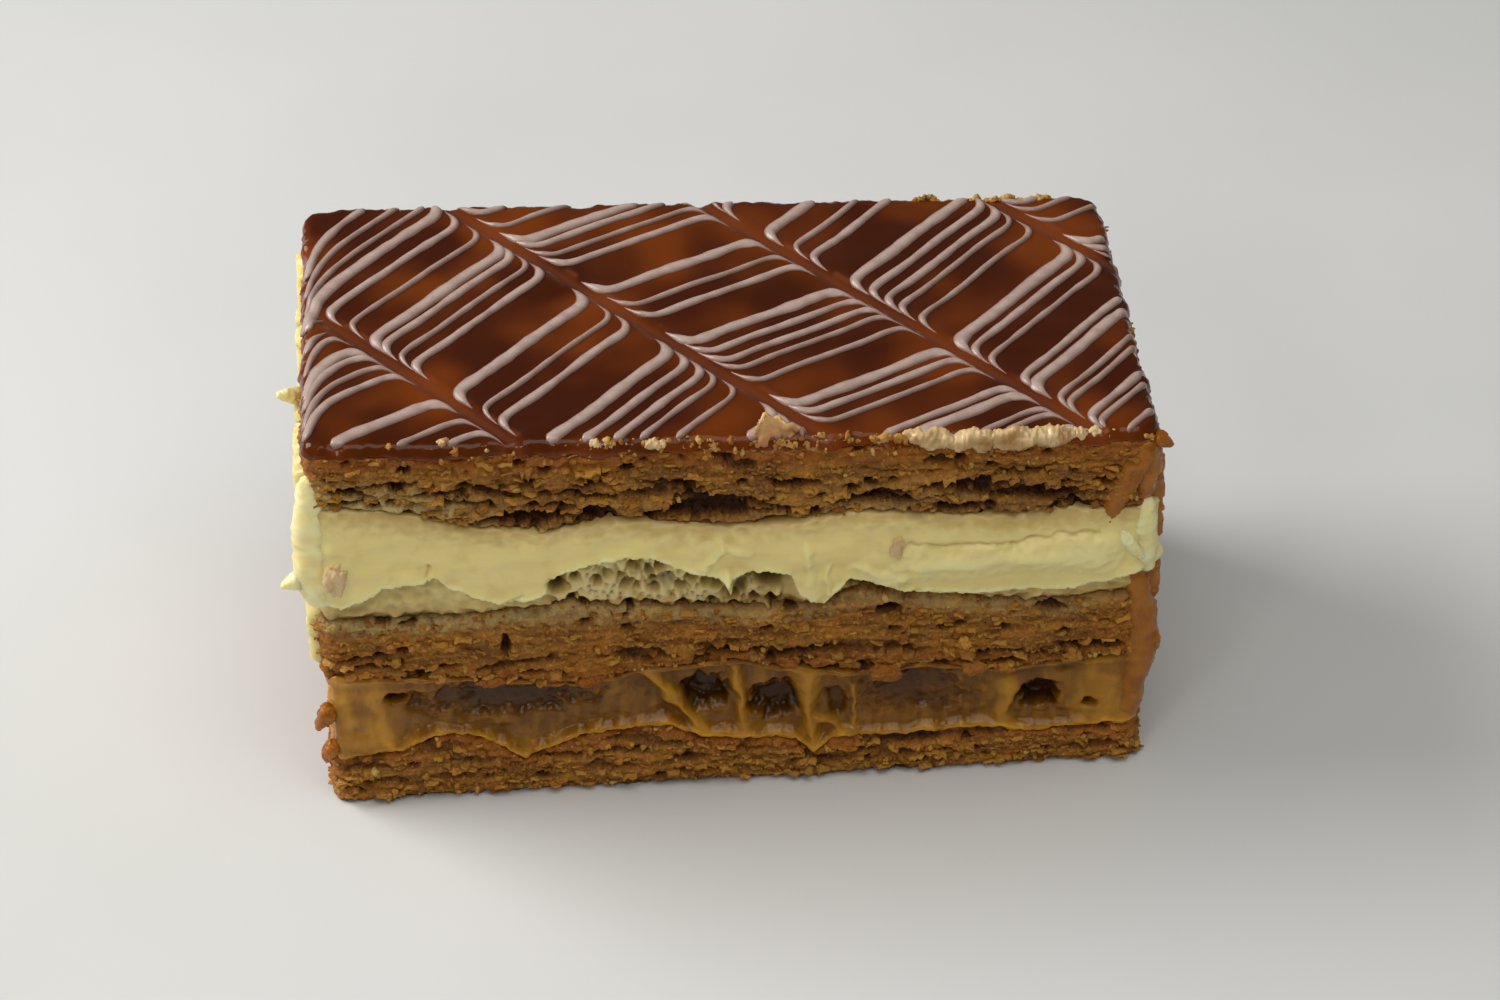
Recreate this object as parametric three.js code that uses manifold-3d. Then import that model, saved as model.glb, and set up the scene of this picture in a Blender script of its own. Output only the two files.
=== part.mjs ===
// A rectangular mille feuille slice: sheets of puff pastry, a caramel filling, a vanilla cream
// filling, and a caramel glaze feathered with white icing, with filling smeared over the cut ends.
// Millimetres, +Z up. The slice rests on z = 0, with its long side along X and its front at -Y.
import * as THREE from "three";
import { mergeVertices } from "three/addons/utils/BufferGeometryUtils.js";
import Module from "manifold-3d";

// Overall size
const LENGTH = 100;
const DEPTH = 51.5;
const HEIGHT = 52;
const HEIGHT_DROP = 3.8; // the left end stands this much taller than the right end
const CORNER_RADIUS = 2.6;

// Thickness of each sheet and filling at mid-length, from the bottom up
const BOTTOM_PASTRY = 7.2;
const CARAMEL = 10.8;
const MIDDLE_PASTRY = 9.8;
const CREAM = 12.4;
const TOP_PASTRY = 9.2;
const GLAZE = HEIGHT - BOTTOM_PASTRY - CARAMEL - MIDDLE_PASTRY - CREAM - TOP_PASTRY;

// Side relief: how far each kind of edge stands out or in, and the spacing of its lumps
const STEPS_ROUND = 104; // points round one ring of the slice
const LEAVES = 5; // pastry leaves in the thickness of a sheet
const LAMINA = 0.8; // every second leaf stands in by this much
const CRAG = 0.85;
const CRAG_SPACING = 4.3;
const CRAG_ROWS = 20; // crags differ from one row to the next, of so many in a sheet
const CRAG_INWARD = 0.4; // share of a crag that goes in rather than out
const SEAM_RECESS = 1.0; // where a sheet meets a filling, the joint lies this far in
const SEAM_WAVE = 0.75;
const SEAM_SPACING = 7;
const CREAM_BULGE = 0.7;
const CREAM_SMEAR = 0.55;
const CREAM_SPACING = 11;
const CARAMEL_RECESS = 2.3;
const CARAMEL_SPACING = 9;
const CARAMEL_SHARE = 0.75; // mean share of the recess, and how far it varies
const CARAMEL_UNEVEN = 0.35;
const CARAMEL_FULLNESS = 0.7; // below 1, the hollow is fuller than a half wave
const GLAZE_ROUNDING = 1.3;
const GLAZE_LUMP = 0.25;
const GLAZE_UPRIGHT = 0.7; // the edge is upright up to this share of the thickness
const GLAZE_SHOULDER = 0.25; // share of the rounding just above that

// Torn pockets low in the front of the cream, and the strands and bubbles in the caramel's front
const CREAM_POCKETS = [
  { x: -18, half: 6, depth: 1.3 },
  { x: -8, half: 5, depth: 1.5 },
  { x: 3, half: 5, depth: 2.4 },
  { x: 15, half: 4, depth: 1.8 },
];
const POCKET_LEVEL = 0.22; // middle and half height of the pockets, as shares of the cream's thickness
const POCKET_REACH = 0.4;
const CARAMEL_STRANDS = [
  { x: -44, half: 2.2 },
  { x: -7.5, half: 1.6 },
  { x: 1, half: 1.4 },
  { x: 9, half: 2.2 },
  { x: 33, half: 1.7 },
];
const STRAND_RISE = 1.9;

// Feathered icing: lines piped across the slice and pulled into cusps along slanting spines
const SPINE_ANGLE = THREE.MathUtils.degToRad(-49.8);
const SPINES = [-63, -35.8, -8.3, 15.7, 43.7, 71]; // distance of each spine across the slice
const LINES = [
  -45.7, -42.7, -40.1, -37.7, -34.2, -30.2, -25.9, -24.1, -21.2, -18.6, -10.9, -6.4, -3.3, 3.8, 6.8,
  9.4, 11.7, 15, 21.4, 23.7, 26.4, 31.7, 33.6, 37.4, 38.9, 42.3, 43.8, 47.4,
]; // place of each piped line along the spines
const LINE_PULL = 1.6; // zigzag of the lines between spines
const CUSP_PULL = 2.4; // sharp tail drawn out at a spine
const CUSP_WIDTH = 1.5;
const EDGE_DROOP = 3.6; // the lines sag towards the front at the left edge
const EDGE_DROOP_WIDTH = 3.2;
const LINE_STEP = 5;
const LINE_WIDTHS = [1.7, 0.9, 1.1, 0.8];
const LINE_RISE = 0.35;
const LINE_SINK = 0.35;
const LINE_CROWN = 0.7; // the ribbon's flat top as a share of its width
const LINE_END = 0.4; // its width at the ends as a share of its width
const LINE_MARGIN = 2.2; // the icing stops this far inside the slice's outline

// Smears left by the knife on the two cut ends. Each covers the rings of some layers, from one layer up
// to another, short of the first and last of those rings, and reaches a little way round the corners.
const SMEAR_GAP = 0.3;
const SMEAR_EDGE = 0.25;
const SMEAR_SPACING = 4.5;
const SMEAR_SHARE = 0.75; // mean share of the thickness, and how far it varies
const SMEAR_UNEVEN = 0.45;
const SMEAR_DRIFT = 0.6; // the lumps move on by this share from ring to ring
const SMEAR_PLATEAU = 1.6; // above 1, the middle of a smear is flatter than a half wave
const SMEARS = [
  {
    name: "cream_smear",
    end: -1,
    reachRound: 0.6,
    layers: [2, 4],
    ringsShort: [3, 1],
    thickness: 1.3,
    seed: 5,
    colour: "#e8d8a0",
    roughness: 0.5,
  },
  {
    name: "caramel_smear",
    end: 1,
    reachRound: 3,
    layers: [1, 4],
    ringsShort: [2, 0],
    thickness: 1.6,
    seed: 9,
    colour: "#9a5c16",
    roughness: 0.3,
  },
];

// Numbers that mix the bits of a whole number well, and the distance between two seeds
const SCATTER_STEP = 127.1;
const SCATTER_START = 311.7;
const SCATTER_SPREAD = 43758.5453;
const SEED_STRIDE = 57;
const LAYER_SEED_STRIDE = 31;

// Points closer than this are one point.
const MERGE_TOLERANCE = 1e-4;

// Repeatable number from 0 to 1 for any whole number.
function scatter(whole) {
  const wave = Math.sin(whole * SCATTER_STEP + SCATTER_START) * SCATTER_SPREAD;
  return wave - Math.floor(wave);
}

// Smooth noise from -1 to 1 along a line, with a new random value at each whole number.
function noise(place, seed) {
  const cell = Math.floor(place);
  const t = place - cell;
  const blend = t * t * (3 - 2 * t);
  const before = scatter(cell + seed * SEED_STRIDE);
  const after = scatter(cell + 1 + seed * SEED_STRIDE);
  return 2 * (before + (after - before) * blend) - 1;
}

// A bump of height 1 at the centre that falls to 0 at half a width either side.
function bump(place, centre, half) {
  const t = Math.min(1, Math.abs(place - centre) / half);
  return (1 - t * t) ** 2;
}

// The slice's outline from above: points spaced evenly round a rectangle with rounded corners,
// starting at the front left corner and running along the front.
function outline() {
  const x = LENGTH / 2;
  const y = DEPTH / 2;
  const r = CORNER_RADIUS;
  const shape = new THREE.Shape();
  shape.moveTo(-x + r, -y);
  shape.lineTo(x - r, -y);
  shape.absarc(x - r, -y + r, r, -Math.PI / 2, 0);
  shape.lineTo(x, y - r);
  shape.absarc(x - r, y - r, r, 0, Math.PI / 2);
  shape.lineTo(-x + r, y);
  shape.absarc(-x + r, y - r, r, Math.PI / 2, Math.PI);
  shape.lineTo(-x, -y + r);
  shape.absarc(-x + r, -y + r, r, Math.PI, 1.5 * Math.PI);
  const around = shape.getLength();
  return Array.from({ length: STEPS_ROUND }, (_, i) => {
    const point = shape.getPointAt(i / STEPS_ROUND);
    const tangent = shape.getTangentAt(i / STEPS_ROUND);
    return {
      x: point.x,
      y: point.y,
      out: new THREE.Vector2(tangent.y, -tangent.x),
      along: (i / STEPS_ROUND) * around,
      front: point.y < -y + r,
    };
  });
}
const OUTLINE = outline();

// Height of a level at a place along the slice: all levels drop towards the right end in proportion.
function leanedHeight(level, x) {
  return level * (1 - (HEIGHT_DROP / HEIGHT) * (x / LENGTH));
}

// Flaky edge: leaves stand in and out by turns, broken by crags.
function pastryRelief(place, t, seed) {
  const leaf = Math.round(t * LEAVES) % 2 === 0 ? -LAMINA : 0;
  const crag = noise(place.along / CRAG_SPACING, seed + Math.round(t * CRAG_ROWS));
  return leaf + CRAG * (crag - CRAG_INWARD);
}

// Soft edge: a low bulge with long smears, and torn pockets low in the front.
function creamRelief(place, t, seed) {
  const bulge = CREAM_BULGE * Math.sin(Math.PI * t);
  const smear = CREAM_SMEAR * noise(place.along / CREAM_SPACING + t, seed);
  const low = bump(t, POCKET_LEVEL, POCKET_REACH);
  const pockets = CREAM_POCKETS.map((p) => p.depth * bump(place.x, p.x, p.half));
  return bulge + smear - (place.front ? low * Math.max(...pockets) : 0);
}

// Hollow edge: the caramel draws back between the sheets, with strands left across the front.
function caramelRelief(place, t, seed) {
  const hollow = CARAMEL_RECESS * Math.sin(Math.PI * t) ** CARAMEL_FULLNESS;
  const uneven = CARAMEL_SHARE + CARAMEL_UNEVEN * noise(place.along / CARAMEL_SPACING, seed);
  const strands = CARAMEL_STRANDS.map((s) => STRAND_RISE * bump(place.x, s.x, s.half));
  return -hollow * uneven + (place.front ? Math.max(...strands) : 0);
}

// Poured edge: nearly upright, then rounded over to the flat top.
function glazeRelief(place, t, seed) {
  const lumps = GLAZE_LUMP * noise(place.along / SEAM_SPACING, seed);
  return t < GLAZE_UPRIGHT ? lumps : -GLAZE_SHOULDER * GLAZE_ROUNDING;
}

// The layers from the bottom up. Cuts are the fractions of a layer's height where its own rings lie.
const LAYERS = [
  {
    name: "pastry_bottom",
    thickness: BOTTOM_PASTRY,
    cuts: [0.12, 0.36, 0.6, 0.88],
    relief: pastryRelief,
    colour: "#8a6230",
    roughness: 0.85,
  },
  {
    name: "caramel_filling",
    thickness: CARAMEL,
    cuts: [0.1, 0.32, 0.62, 0.9],
    relief: caramelRelief,
    colour: "#8f5c18",
    roughness: 0.3,
  },
  {
    name: "pastry_middle",
    thickness: MIDDLE_PASTRY,
    cuts: [0.1, 0.3, 0.5, 0.7, 0.9],
    relief: pastryRelief,
    colour: "#8a6230",
    roughness: 0.85,
  },
  {
    name: "cream_filling",
    thickness: CREAM,
    cuts: [0.1, 0.3, 0.55, 0.85],
    relief: creamRelief,
    colour: "#e0cf8a",
    roughness: 0.5,
  },
  {
    name: "pastry_top",
    thickness: TOP_PASTRY,
    cuts: [0.1, 0.3, 0.5, 0.7, 0.9],
    relief: pastryRelief,
    colour: "#8a6230",
    roughness: 0.85,
  },
  {
    name: "glaze",
    thickness: GLAZE,
    cuts: [0.25, 0.8],
    relief: glazeRelief,
    colour: "#5e2a0e",
    roughness: 0.12,
  },
];

// One ring's point: the outline moved out by the relief, at the leaned height.
function ringPoint(place, level, offset, wave) {
  const x = place.x + place.out.x * offset;
  const y = place.y + place.out.y * offset;
  return new THREE.Vector3(x, y, leanedHeight(level, x) + wave);
}

// The ring shared by two neighbouring layers, wavy where a filling meets a sheet.
function seamRing(level, seed, extra) {
  const atBase = level === 0;
  const atTop = level === HEIGHT;
  return OUTLINE.map((place) => {
    const wave = atBase || atTop ? 0 : SEAM_WAVE * noise(place.along / SEAM_SPACING, seed);
    const recess = atTop ? GLAZE_ROUNDING : SEAM_RECESS;
    return ringPoint(place, level, extra - recess, wave);
  });
}

// All rings of one layer from its lower seam to its upper seam, moved out by an extra amount.
function layerRings(index, extra = 0) {
  const layer = LAYERS[index];
  const base = LAYERS.slice(0, index).reduce((sum, below) => sum + below.thickness, 0);
  const top = index === LAYERS.length - 1 ? HEIGHT : base + layer.thickness;
  const own = layer.cuts.map((t) => {
    const level = base + t * layer.thickness;
    return OUTLINE.map((place) => {
      const offset = layer.relief(place, t, index * LAYER_SEED_STRIDE);
      return ringPoint(place, level, extra + offset, 0);
    });
  });
  return [seamRing(base, index, extra), ...own, seamRing(top, index + 1, extra)];
}

// Triangles that close a ring: a four-sided one across its diagonal, any other as seen from above.
function capTriangles(ring) {
  if (ring.length === 4) {
    return [
      [0, 1, 2],
      [0, 2, 3],
    ];
  }
  return THREE.ShapeUtils.triangulateShape(
    ring.map((p) => new THREE.Vector2(p.x, p.y)),
    [],
  );
}

// Closed solid through a stack of rings with equal numbers of points, each anticlockwise.
// Each four-sided patch is split along its shorter diagonal.
function loft(rings) {
  const around = rings[0].length;
  const points = rings.flat();
  const positions = points.flatMap((p) => [p.x, p.y, p.z]);
  const triangles = [];
  for (let k = 0; k < rings.length - 1; k++) {
    for (let i = 0; i < around; i++) {
      const a = k * around + i;
      const b = k * around + ((i + 1) % around);
      const c = b + around;
      const d = a + around;
      const shorter = points[a].distanceTo(points[c]) < points[b].distanceTo(points[d]);
      triangles.push(...(shorter ? [a, b, c, a, c, d] : [a, b, d, b, c, d]));
    }
  }
  const last = (rings.length - 1) * around;
  for (const [a, b, c] of capTriangles(rings[0])) triangles.push(a, c, b);
  for (const [a, b, c] of capTriangles(rings.at(-1))) triangles.push(last + a, last + b, last + c);
  return new THREE.BufferGeometry()
    .setAttribute("position", new THREE.Float32BufferAttribute(positions, 3))
    .setIndex(triangles);
}

const wasm = await Module();
wasm.setup();

// A closed geometry as a solid that can be joined to others.
function solidOf(geometry) {
  const merged = mergeVertices(geometry, MERGE_TOLERANCE);
  return new wasm.Manifold(
    new wasm.Mesh({
      numProp: 3,
      vertProperties: new Float32Array(merged.getAttribute("position").array),
      triVerts: new Uint32Array(merged.index.array),
    }),
  );
}

// A joined solid as a geometry again.
function geometryOf(solid) {
  const mesh = solid.getMesh();
  return new THREE.BufferGeometry()
    .setAttribute("position", new THREE.Float32BufferAttribute(mesh.vertProperties, 3))
    .setIndex([...mesh.triVerts]);
}

// How far a line is pulled along the spines at a distance across the slice: it swings one way at one
// spine and the other way at the next, with a sharp tail at each.
function featherPull(across) {
  const next = SPINES.findIndex((spine) => spine > across);
  const before = SPINES[next - 1];
  const t = (across - before) / (SPINES[next] - before);
  const sign = next % 2 === 0 ? 1 : -1;
  const swing = LINE_PULL * sign * Math.cos(Math.PI * t);
  const tailBefore = Math.exp(-(across - before) / CUSP_WIDTH);
  const tailAfter = Math.exp(-(SPINES[next] - across) / CUSP_WIDTH);
  return swing + CUSP_PULL * sign * (tailBefore - tailAfter);
}

// A point of a piped line on the slice, from its distances across and along the spines.
function featherPoint(across, along) {
  const pulled = along + featherPull(across);
  const x = -across * Math.sin(SPINE_ANGLE) + pulled * Math.cos(SPINE_ANGLE);
  const y = across * Math.cos(SPINE_ANGLE) + pulled * Math.sin(SPINE_ANGLE);
  return new THREE.Vector2(x, y - EDGE_DROOP * Math.exp(-(x + LENGTH / 2) / EDGE_DROOP_WIDTH));
}

// Distances across the slice where a line is drawn: even steps, and each spine itself.
function featherStops() {
  const stops = [];
  for (let s = 0; s < SPINES.length - 1; s++) {
    const steps = Math.round((SPINES[s + 1] - SPINES[s]) / LINE_STEP);
    for (let i = 0; i < steps; i++) {
      stops.push(SPINES[s] + ((SPINES[s + 1] - SPINES[s]) * i) / steps);
    }
  }
  return stops;
}

// The stretches of one piped line that lie on the slice's top.
function lineRuns(along) {
  const runs = [[]];
  for (const across of featherStops()) {
    const p = featherPoint(across, along);
    const inside = Math.abs(p.x) < LENGTH / 2 - LINE_MARGIN && Math.abs(p.y) < DEPTH / 2 - LINE_MARGIN;
    if (inside) runs.at(-1).push(p);
    else if (runs.at(-1).length) runs.push([]);
  }
  return runs.filter((run) => run.length > 2);
}

// A low ribbon of icing along a run of points, narrowed at both ends.
function icingRibbon(run, width) {
  const rings = run.map((p, i) => {
    const ahead = run[Math.min(i + 1, run.length - 1)];
    const behind = run[Math.max(i - 1, 0)];
    const side = new THREE.Vector2(behind.y - ahead.y, ahead.x - behind.x).normalize();
    const atEnd = i === 0 || i === run.length - 1;
    const half = (atEnd ? LINE_END : 1) * (width / 2);
    const top = leanedHeight(HEIGHT, p.x);
    const corner = (across, rise) =>
      new THREE.Vector3(p.x + side.x * across, p.y + side.y * across, top + rise);
    return [
      corner(-half, -LINE_SINK),
      corner(half, -LINE_SINK),
      corner(half * LINE_CROWN, LINE_RISE),
      corner(-half * LINE_CROWN, LINE_RISE),
    ];
  });
  return loft(rings);
}

// The glaze with its feathered icing joined on.
function icedGlaze(glaze) {
  let iced = solidOf(glaze);
  LINES.forEach((along, i) => {
    for (const run of lineRuns(along)) {
      iced = iced.add(solidOf(icingRibbon(run, LINE_WIDTHS[i % LINE_WIDTHS.length])));
    }
  });
  return geometryOf(iced);
}

// Outline points on one end of the slice, in order round the outline.
function endPlaces(end, reachRound) {
  const limit = LENGTH / 2 - reachRound;
  const found = OUTLINE.map((place, i) => i).filter((i) => OUTLINE[i].x * end > limit);
  const start = found.findIndex((i, n) => n > 0 && i - found[n - 1] > 1);
  return start < 0 ? found : [...found.slice(start), ...found.slice(0, start)];
}

// The rings behind a smear, moved out by its gap, with each shared seam taken once.
function ringsBehind({ layers, ringsShort }) {
  const rings = [];
  for (let index = layers[0]; index <= layers[1]; index++) {
    rings.push(...layerRings(index, SMEAR_GAP).slice(index === layers[0] ? 0 : 1));
  }
  return rings.slice(ringsShort[0], rings.length - ringsShort[1]);
}

// A thin lumpy skin over one end, a small gap clear of the layers behind it and thinnest at its rim.
function smearSkin(smear) {
  const places = endPlaces(smear.end, smear.reachRound);
  const behind = ringsBehind(smear);
  const rings = behind.map((ring, k) => {
    const inside = places.map((i) => ring[i]);
    const outside = places.map((i, column) => {
      const place = OUTLINE[i];
      const upward = Math.sin((Math.PI * k) / (behind.length - 1));
      const sideways = Math.sin((Math.PI * column) / (places.length - 1));
      const swell = Math.min(1, SMEAR_PLATEAU * upward * sideways);
      const lumps = noise(place.along / SMEAR_SPACING + k * SMEAR_DRIFT, smear.seed);
      const depth = SMEAR_EDGE + smear.thickness * swell * (SMEAR_SHARE + SMEAR_UNEVEN * lumps);
      const moved = new THREE.Vector3(place.out.x, place.out.y, 0).multiplyScalar(depth);
      return moved.add(ring[i]);
    });
    return [...outside, ...inside.reverse()];
  });
  return loft(rings);
}

// A named mesh with its own material.
function piece({ name, colour, roughness }, geometry) {
  const material = new THREE.MeshStandardMaterial({ color: colour, roughness, metalness: 0 });
  const mesh = new THREE.Mesh(geometry, material);
  mesh.name = name;
  return mesh;
}

const slice = new THREE.Group();
LAYERS.forEach((layer, index) => {
  const plain = loft(layerRings(index));
  slice.add(piece(layer, layer.name === "glaze" ? icedGlaze(plain) : plain));
});
for (const smear of SMEARS) slice.add(piece(smear, smearSkin(smear)));

// The frame's origin is under the middle of the finished slice.
const box = new THREE.Box3().setFromObject(slice);
const centre = box.getCenter(new THREE.Vector3());
slice.position.set(-centre.x, -centre.y, -box.min.z);

const part = new THREE.Group();
part.add(slice);
export default part;
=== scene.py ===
"""Looks of a mille feuille slice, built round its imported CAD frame.

Three sheets of puff pastry hold a caramel and a vanilla cream filling, under a caramel glaze that is
feathered with white icing. Shapes are worked out in millimetres, with the slice's middle at x = y = 0
and its underside at z = 0, and are written to the meshes in metres in the frame's own place.
"""

import logging
import math
from contextlib import contextmanager
from dataclasses import dataclass, field
from enum import Enum
from functools import cached_property
from typing import Iterator, Sequence, Union

import bpy
import numpy as np
from mathutils import Matrix, Vector


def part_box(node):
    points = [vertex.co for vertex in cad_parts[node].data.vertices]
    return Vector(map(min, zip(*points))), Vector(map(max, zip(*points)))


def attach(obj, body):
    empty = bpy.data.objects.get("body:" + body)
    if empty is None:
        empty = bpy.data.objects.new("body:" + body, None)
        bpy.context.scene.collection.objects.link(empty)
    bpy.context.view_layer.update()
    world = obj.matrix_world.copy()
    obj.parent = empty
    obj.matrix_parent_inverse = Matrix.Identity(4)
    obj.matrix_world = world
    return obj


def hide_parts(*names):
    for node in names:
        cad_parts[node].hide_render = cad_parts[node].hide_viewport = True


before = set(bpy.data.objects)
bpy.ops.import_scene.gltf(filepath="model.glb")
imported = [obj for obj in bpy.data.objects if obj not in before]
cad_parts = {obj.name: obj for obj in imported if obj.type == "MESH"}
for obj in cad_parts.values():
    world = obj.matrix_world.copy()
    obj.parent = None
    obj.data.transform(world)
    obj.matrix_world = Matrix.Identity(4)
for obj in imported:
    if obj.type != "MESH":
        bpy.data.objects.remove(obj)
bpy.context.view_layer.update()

Array = np.ndarray
Colour = tuple[float, float, float, float]
Socket = bpy.types.NodeSocket
Points = Sequence[tuple[float, float]]
Stretch = tuple[float, float, float]

LOG = logging.getLogger("mille_feuille")
BODY = "root"
METRE = 0.001


class Side(Enum):
    """The two cut ends of the slice, by the direction that each faces."""

    RIGHT = (1.0, 0.0)
    LEFT = (-1.0, 0.0)


class Pick(Enum):
    """What edit mode selects."""

    VERTS = (True, False, False)
    EDGES = (False, True, False)
    FACES = (False, False, True)


def ease(low: float, high: float, value: Array) -> Array:
    """Smooth step from 0 at low to 1 at high.

    Args:
        low: Value where the step starts; it may be above high, for a step down.
        high: Value where the step ends.
        value: Values to ease.

    Returns:
        Numbers from 0 to 1.
    """
    t = np.clip((value - low) / (high - low), 0.0, 1.0)
    return t * t * (3.0 - 2.0 * t)


def along(points: Points, x: Array) -> Array:
    """Reads a broken line of (x, value) points at x."""
    return np.interp(x, [p[0] for p in points], [p[1] for p in points])


def srgb(red: int, green: int, blue: int) -> Colour:
    """Turns a colour of 0 to 255 levels, as a screen shows it, into the linear colour a shader takes."""
    levels = [level / 255 for level in (red, green, blue)]
    linear = [v / 12.92 if v <= 0.04045 else ((v + 0.055) / 1.055) ** 2.4 for v in levels]
    return (*linear, 1.0)


class Noise:
    """Seeded noise over arrays of points, the same on every run."""

    LEVELS = 1023

    @staticmethod
    def mix(cell: Array, seed: int) -> Array:
        """Turns whole-number cells into well mixed 32-bit numbers."""
        c = cell.astype(np.int64).astype(np.uint64)
        word = np.uint64(0xFFFFFFFF)
        h = c[..., 0] * np.uint64(374761393) + c[..., 1] * np.uint64(668265263)
        h = (h + c[..., 2] * np.uint64(2246822519) + np.uint64(seed * 974711 + 17)) & word
        h = ((h ^ (h >> np.uint64(13))) * np.uint64(1274126177)) & word
        h = ((h ^ (h >> np.uint64(16))) * np.uint64(3266489917)) & word
        return h ^ (h >> np.uint64(15))

    @classmethod
    def spread(cls, bits: Array) -> Array:
        """Splits each mixed number into three numbers from 0 to 1."""
        parts = [(bits >> np.uint64(shift)) & np.uint64(cls.LEVELS) for shift in (0, 10, 20)]
        return np.stack(parts, axis=-1).astype(float) / cls.LEVELS

    @classmethod
    def smooth(cls, points: Array, seed: int) -> Array:
        """Gradient noise.

        Args:
            points: Places, one lump of noise per unit.
            seed: Which noise.

        Returns:
            Numbers from about -1 to 1.
        """
        base = np.floor(points)
        part = points - base
        fade = part**3 * (part * (part * 6 - 15) + 10)
        total = np.zeros(len(points))
        for corner in np.ndindex(2, 2, 2):
            slope = cls.spread(cls.mix(base + corner, seed)) * 2 - 1
            weight = np.where(np.array(corner), fade, 1 - fade).prod(axis=1)
            total += weight * ((part - corner) * slope).sum(axis=1)
        return total * 1.5

    @classmethod
    def fractal(cls, points: Array, seed: int, octaves: int = 3) -> Array:
        """Adds up ever finer and weaker gradient noise."""
        return sum(cls.smooth(points * 2**i, seed + i) / 2**i for i in range(octaves))

    @classmethod
    def cells(cls, points: Array, seed: int) -> tuple[Array, Array]:
        """Cell noise: one random spot in every unit cell.

        Args:
            points: Places.
            seed: Which noise.

        Returns:
            The distance to the nearest spot, and that spot's own number from 0 to 1.
        """
        base = np.floor(points)
        nearest = np.full(len(points), 9.0)
        number = np.zeros(len(points))
        for step in np.ndindex(3, 3, 3):
            cell = base + step - 1
            bits = cls.mix(cell, seed)
            distance = np.linalg.norm(points - cell - cls.spread(bits), axis=1)
            closer = distance < nearest
            nearest = np.where(closer, distance, nearest)
            number = np.where(closer, (bits % np.uint64(997)).astype(float) / 996, number)
        return nearest, number


@dataclass(frozen=True)
class SliceForm:
    """The slice's block: its overall sizes, its outline and where it stands in the frame."""

    length: float = 100.0
    depth: float = 51.5
    height: float = 52.0
    drop: float = 3.8  # the left end stands this much taller than the right end
    corner: float = 2.6
    front_steps: int = 480
    back_steps: int = 250
    end_steps: int = 140
    corner_steps: int = 10

    def core(self) -> Array:
        """Half length and half depth of the block without its rounded corners."""
        return np.array([self.length, self.depth]) / 2 - self.corner

    def outline(self) -> Array:
        """Points round the block, anticlockwise from the front left corner.

        Returns:
            An array of (x, y) rows.
        """
        half_x, half_y = self.core()
        runs = [
            ((-half_x, -half_y), (half_x, -half_y), self.front_steps, -90),
            ((half_x, -half_y), (half_x, half_y), self.end_steps, 0),
            ((half_x, half_y), (-half_x, half_y), self.back_steps, 90),
            ((-half_x, half_y), (-half_x, -half_y), self.end_steps, 180),
        ]
        rings = []
        for start, end, steps, facing in runs:
            t = np.arange(steps)[:, None] / steps
            turn = math.radians(facing)
            straight = np.array(start) * (1 - t) + np.array(end) * t
            rings.append(straight + self.corner * np.array([math.cos(turn), math.sin(turn)]))
            angles = turn + np.arange(self.corner_steps) / self.corner_steps * math.pi / 2
            bend = np.column_stack([np.cos(angles), np.sin(angles)])
            rings.append(np.array(end) + self.corner * bend)
        return np.vstack(rings)

    def outward(self, xy: Array) -> Array:
        """Directions that face out of the block's sides at points on or near its outline."""
        core = self.core()
        away = xy - np.clip(xy, -core, core)
        return away / np.maximum(np.linalg.norm(away, axis=1), 1e-9)[:, None]

    def inside(self, xy: Array) -> Array:
        """How far each point lies inside the outline."""
        away = np.abs(xy) - self.core()
        outer = np.linalg.norm(np.maximum(away, 0), axis=1)
        return self.corner - outer - np.minimum(away.max(axis=1), 0)

    def lean(self, x: Array) -> Array:
        """Share of the nominal height at x, because the slice is taller at its left end."""
        return 1 - self.drop / self.height * x / self.length

    def place(self, points: Array) -> Array:
        """Moves points from the slice's own millimetres to the frame, in metres."""
        boxes = [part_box(node) for node in ("pastry_bottom", "pastry_middle", "pastry_top")]
        middle = sum((low + high for low, high in boxes), Vector()) / (2 * len(boxes))
        return points * METRE + np.array([middle.x, middle.y, 0.0])


FORM = SliceForm()


@contextmanager
def edit_mode(piece: bpy.types.Object, pick: Pick) -> Iterator[None]:
    """Holds a piece in edit mode with one kind of element to select.

    Args:
        piece: The mesh object to edit.
        pick: What is selected in this spell.

    Yields:
        Nothing.
    """
    bpy.context.view_layer.objects.active = piece
    bpy.context.tool_settings.mesh_select_mode = pick.value
    bpy.ops.object.mode_set(mode="EDIT")
    yield
    bpy.ops.object.mode_set(mode="OBJECT")


def choose(piece: bpy.types.Object, pick: Pick, mask: Array) -> None:
    """Selects just the masked vertices, edges or faces of a piece that is in object mode.

    Args:
        piece: The mesh object.
        pick: Which kind the mask is for.
        mask: True for each element to select.
    """
    mesh = piece.data
    parts = {Pick.VERTS: mesh.vertices, Pick.EDGES: mesh.edges, Pick.FACES: mesh.polygons}
    for kind, elements in parts.items():
        wanted = mask if kind is pick else np.zeros(len(elements), bool)
        elements.foreach_set("select", wanted)


def places(mesh: bpy.types.Mesh) -> Array:
    """Reads a mesh's vertices as an array of rows."""
    flat = np.empty(len(mesh.vertices) * 3, np.float32)
    mesh.vertices.foreach_get("co", flat)
    return flat.reshape(-1, 3).astype(float)


def edge_ends(mesh: bpy.types.Mesh) -> Array:
    """Reads the two vertex numbers of each edge."""
    flat = np.empty(len(mesh.edges) * 2, np.int32)
    mesh.edges.foreach_get("vertices", flat)
    return flat.reshape(-1, 2)


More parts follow.
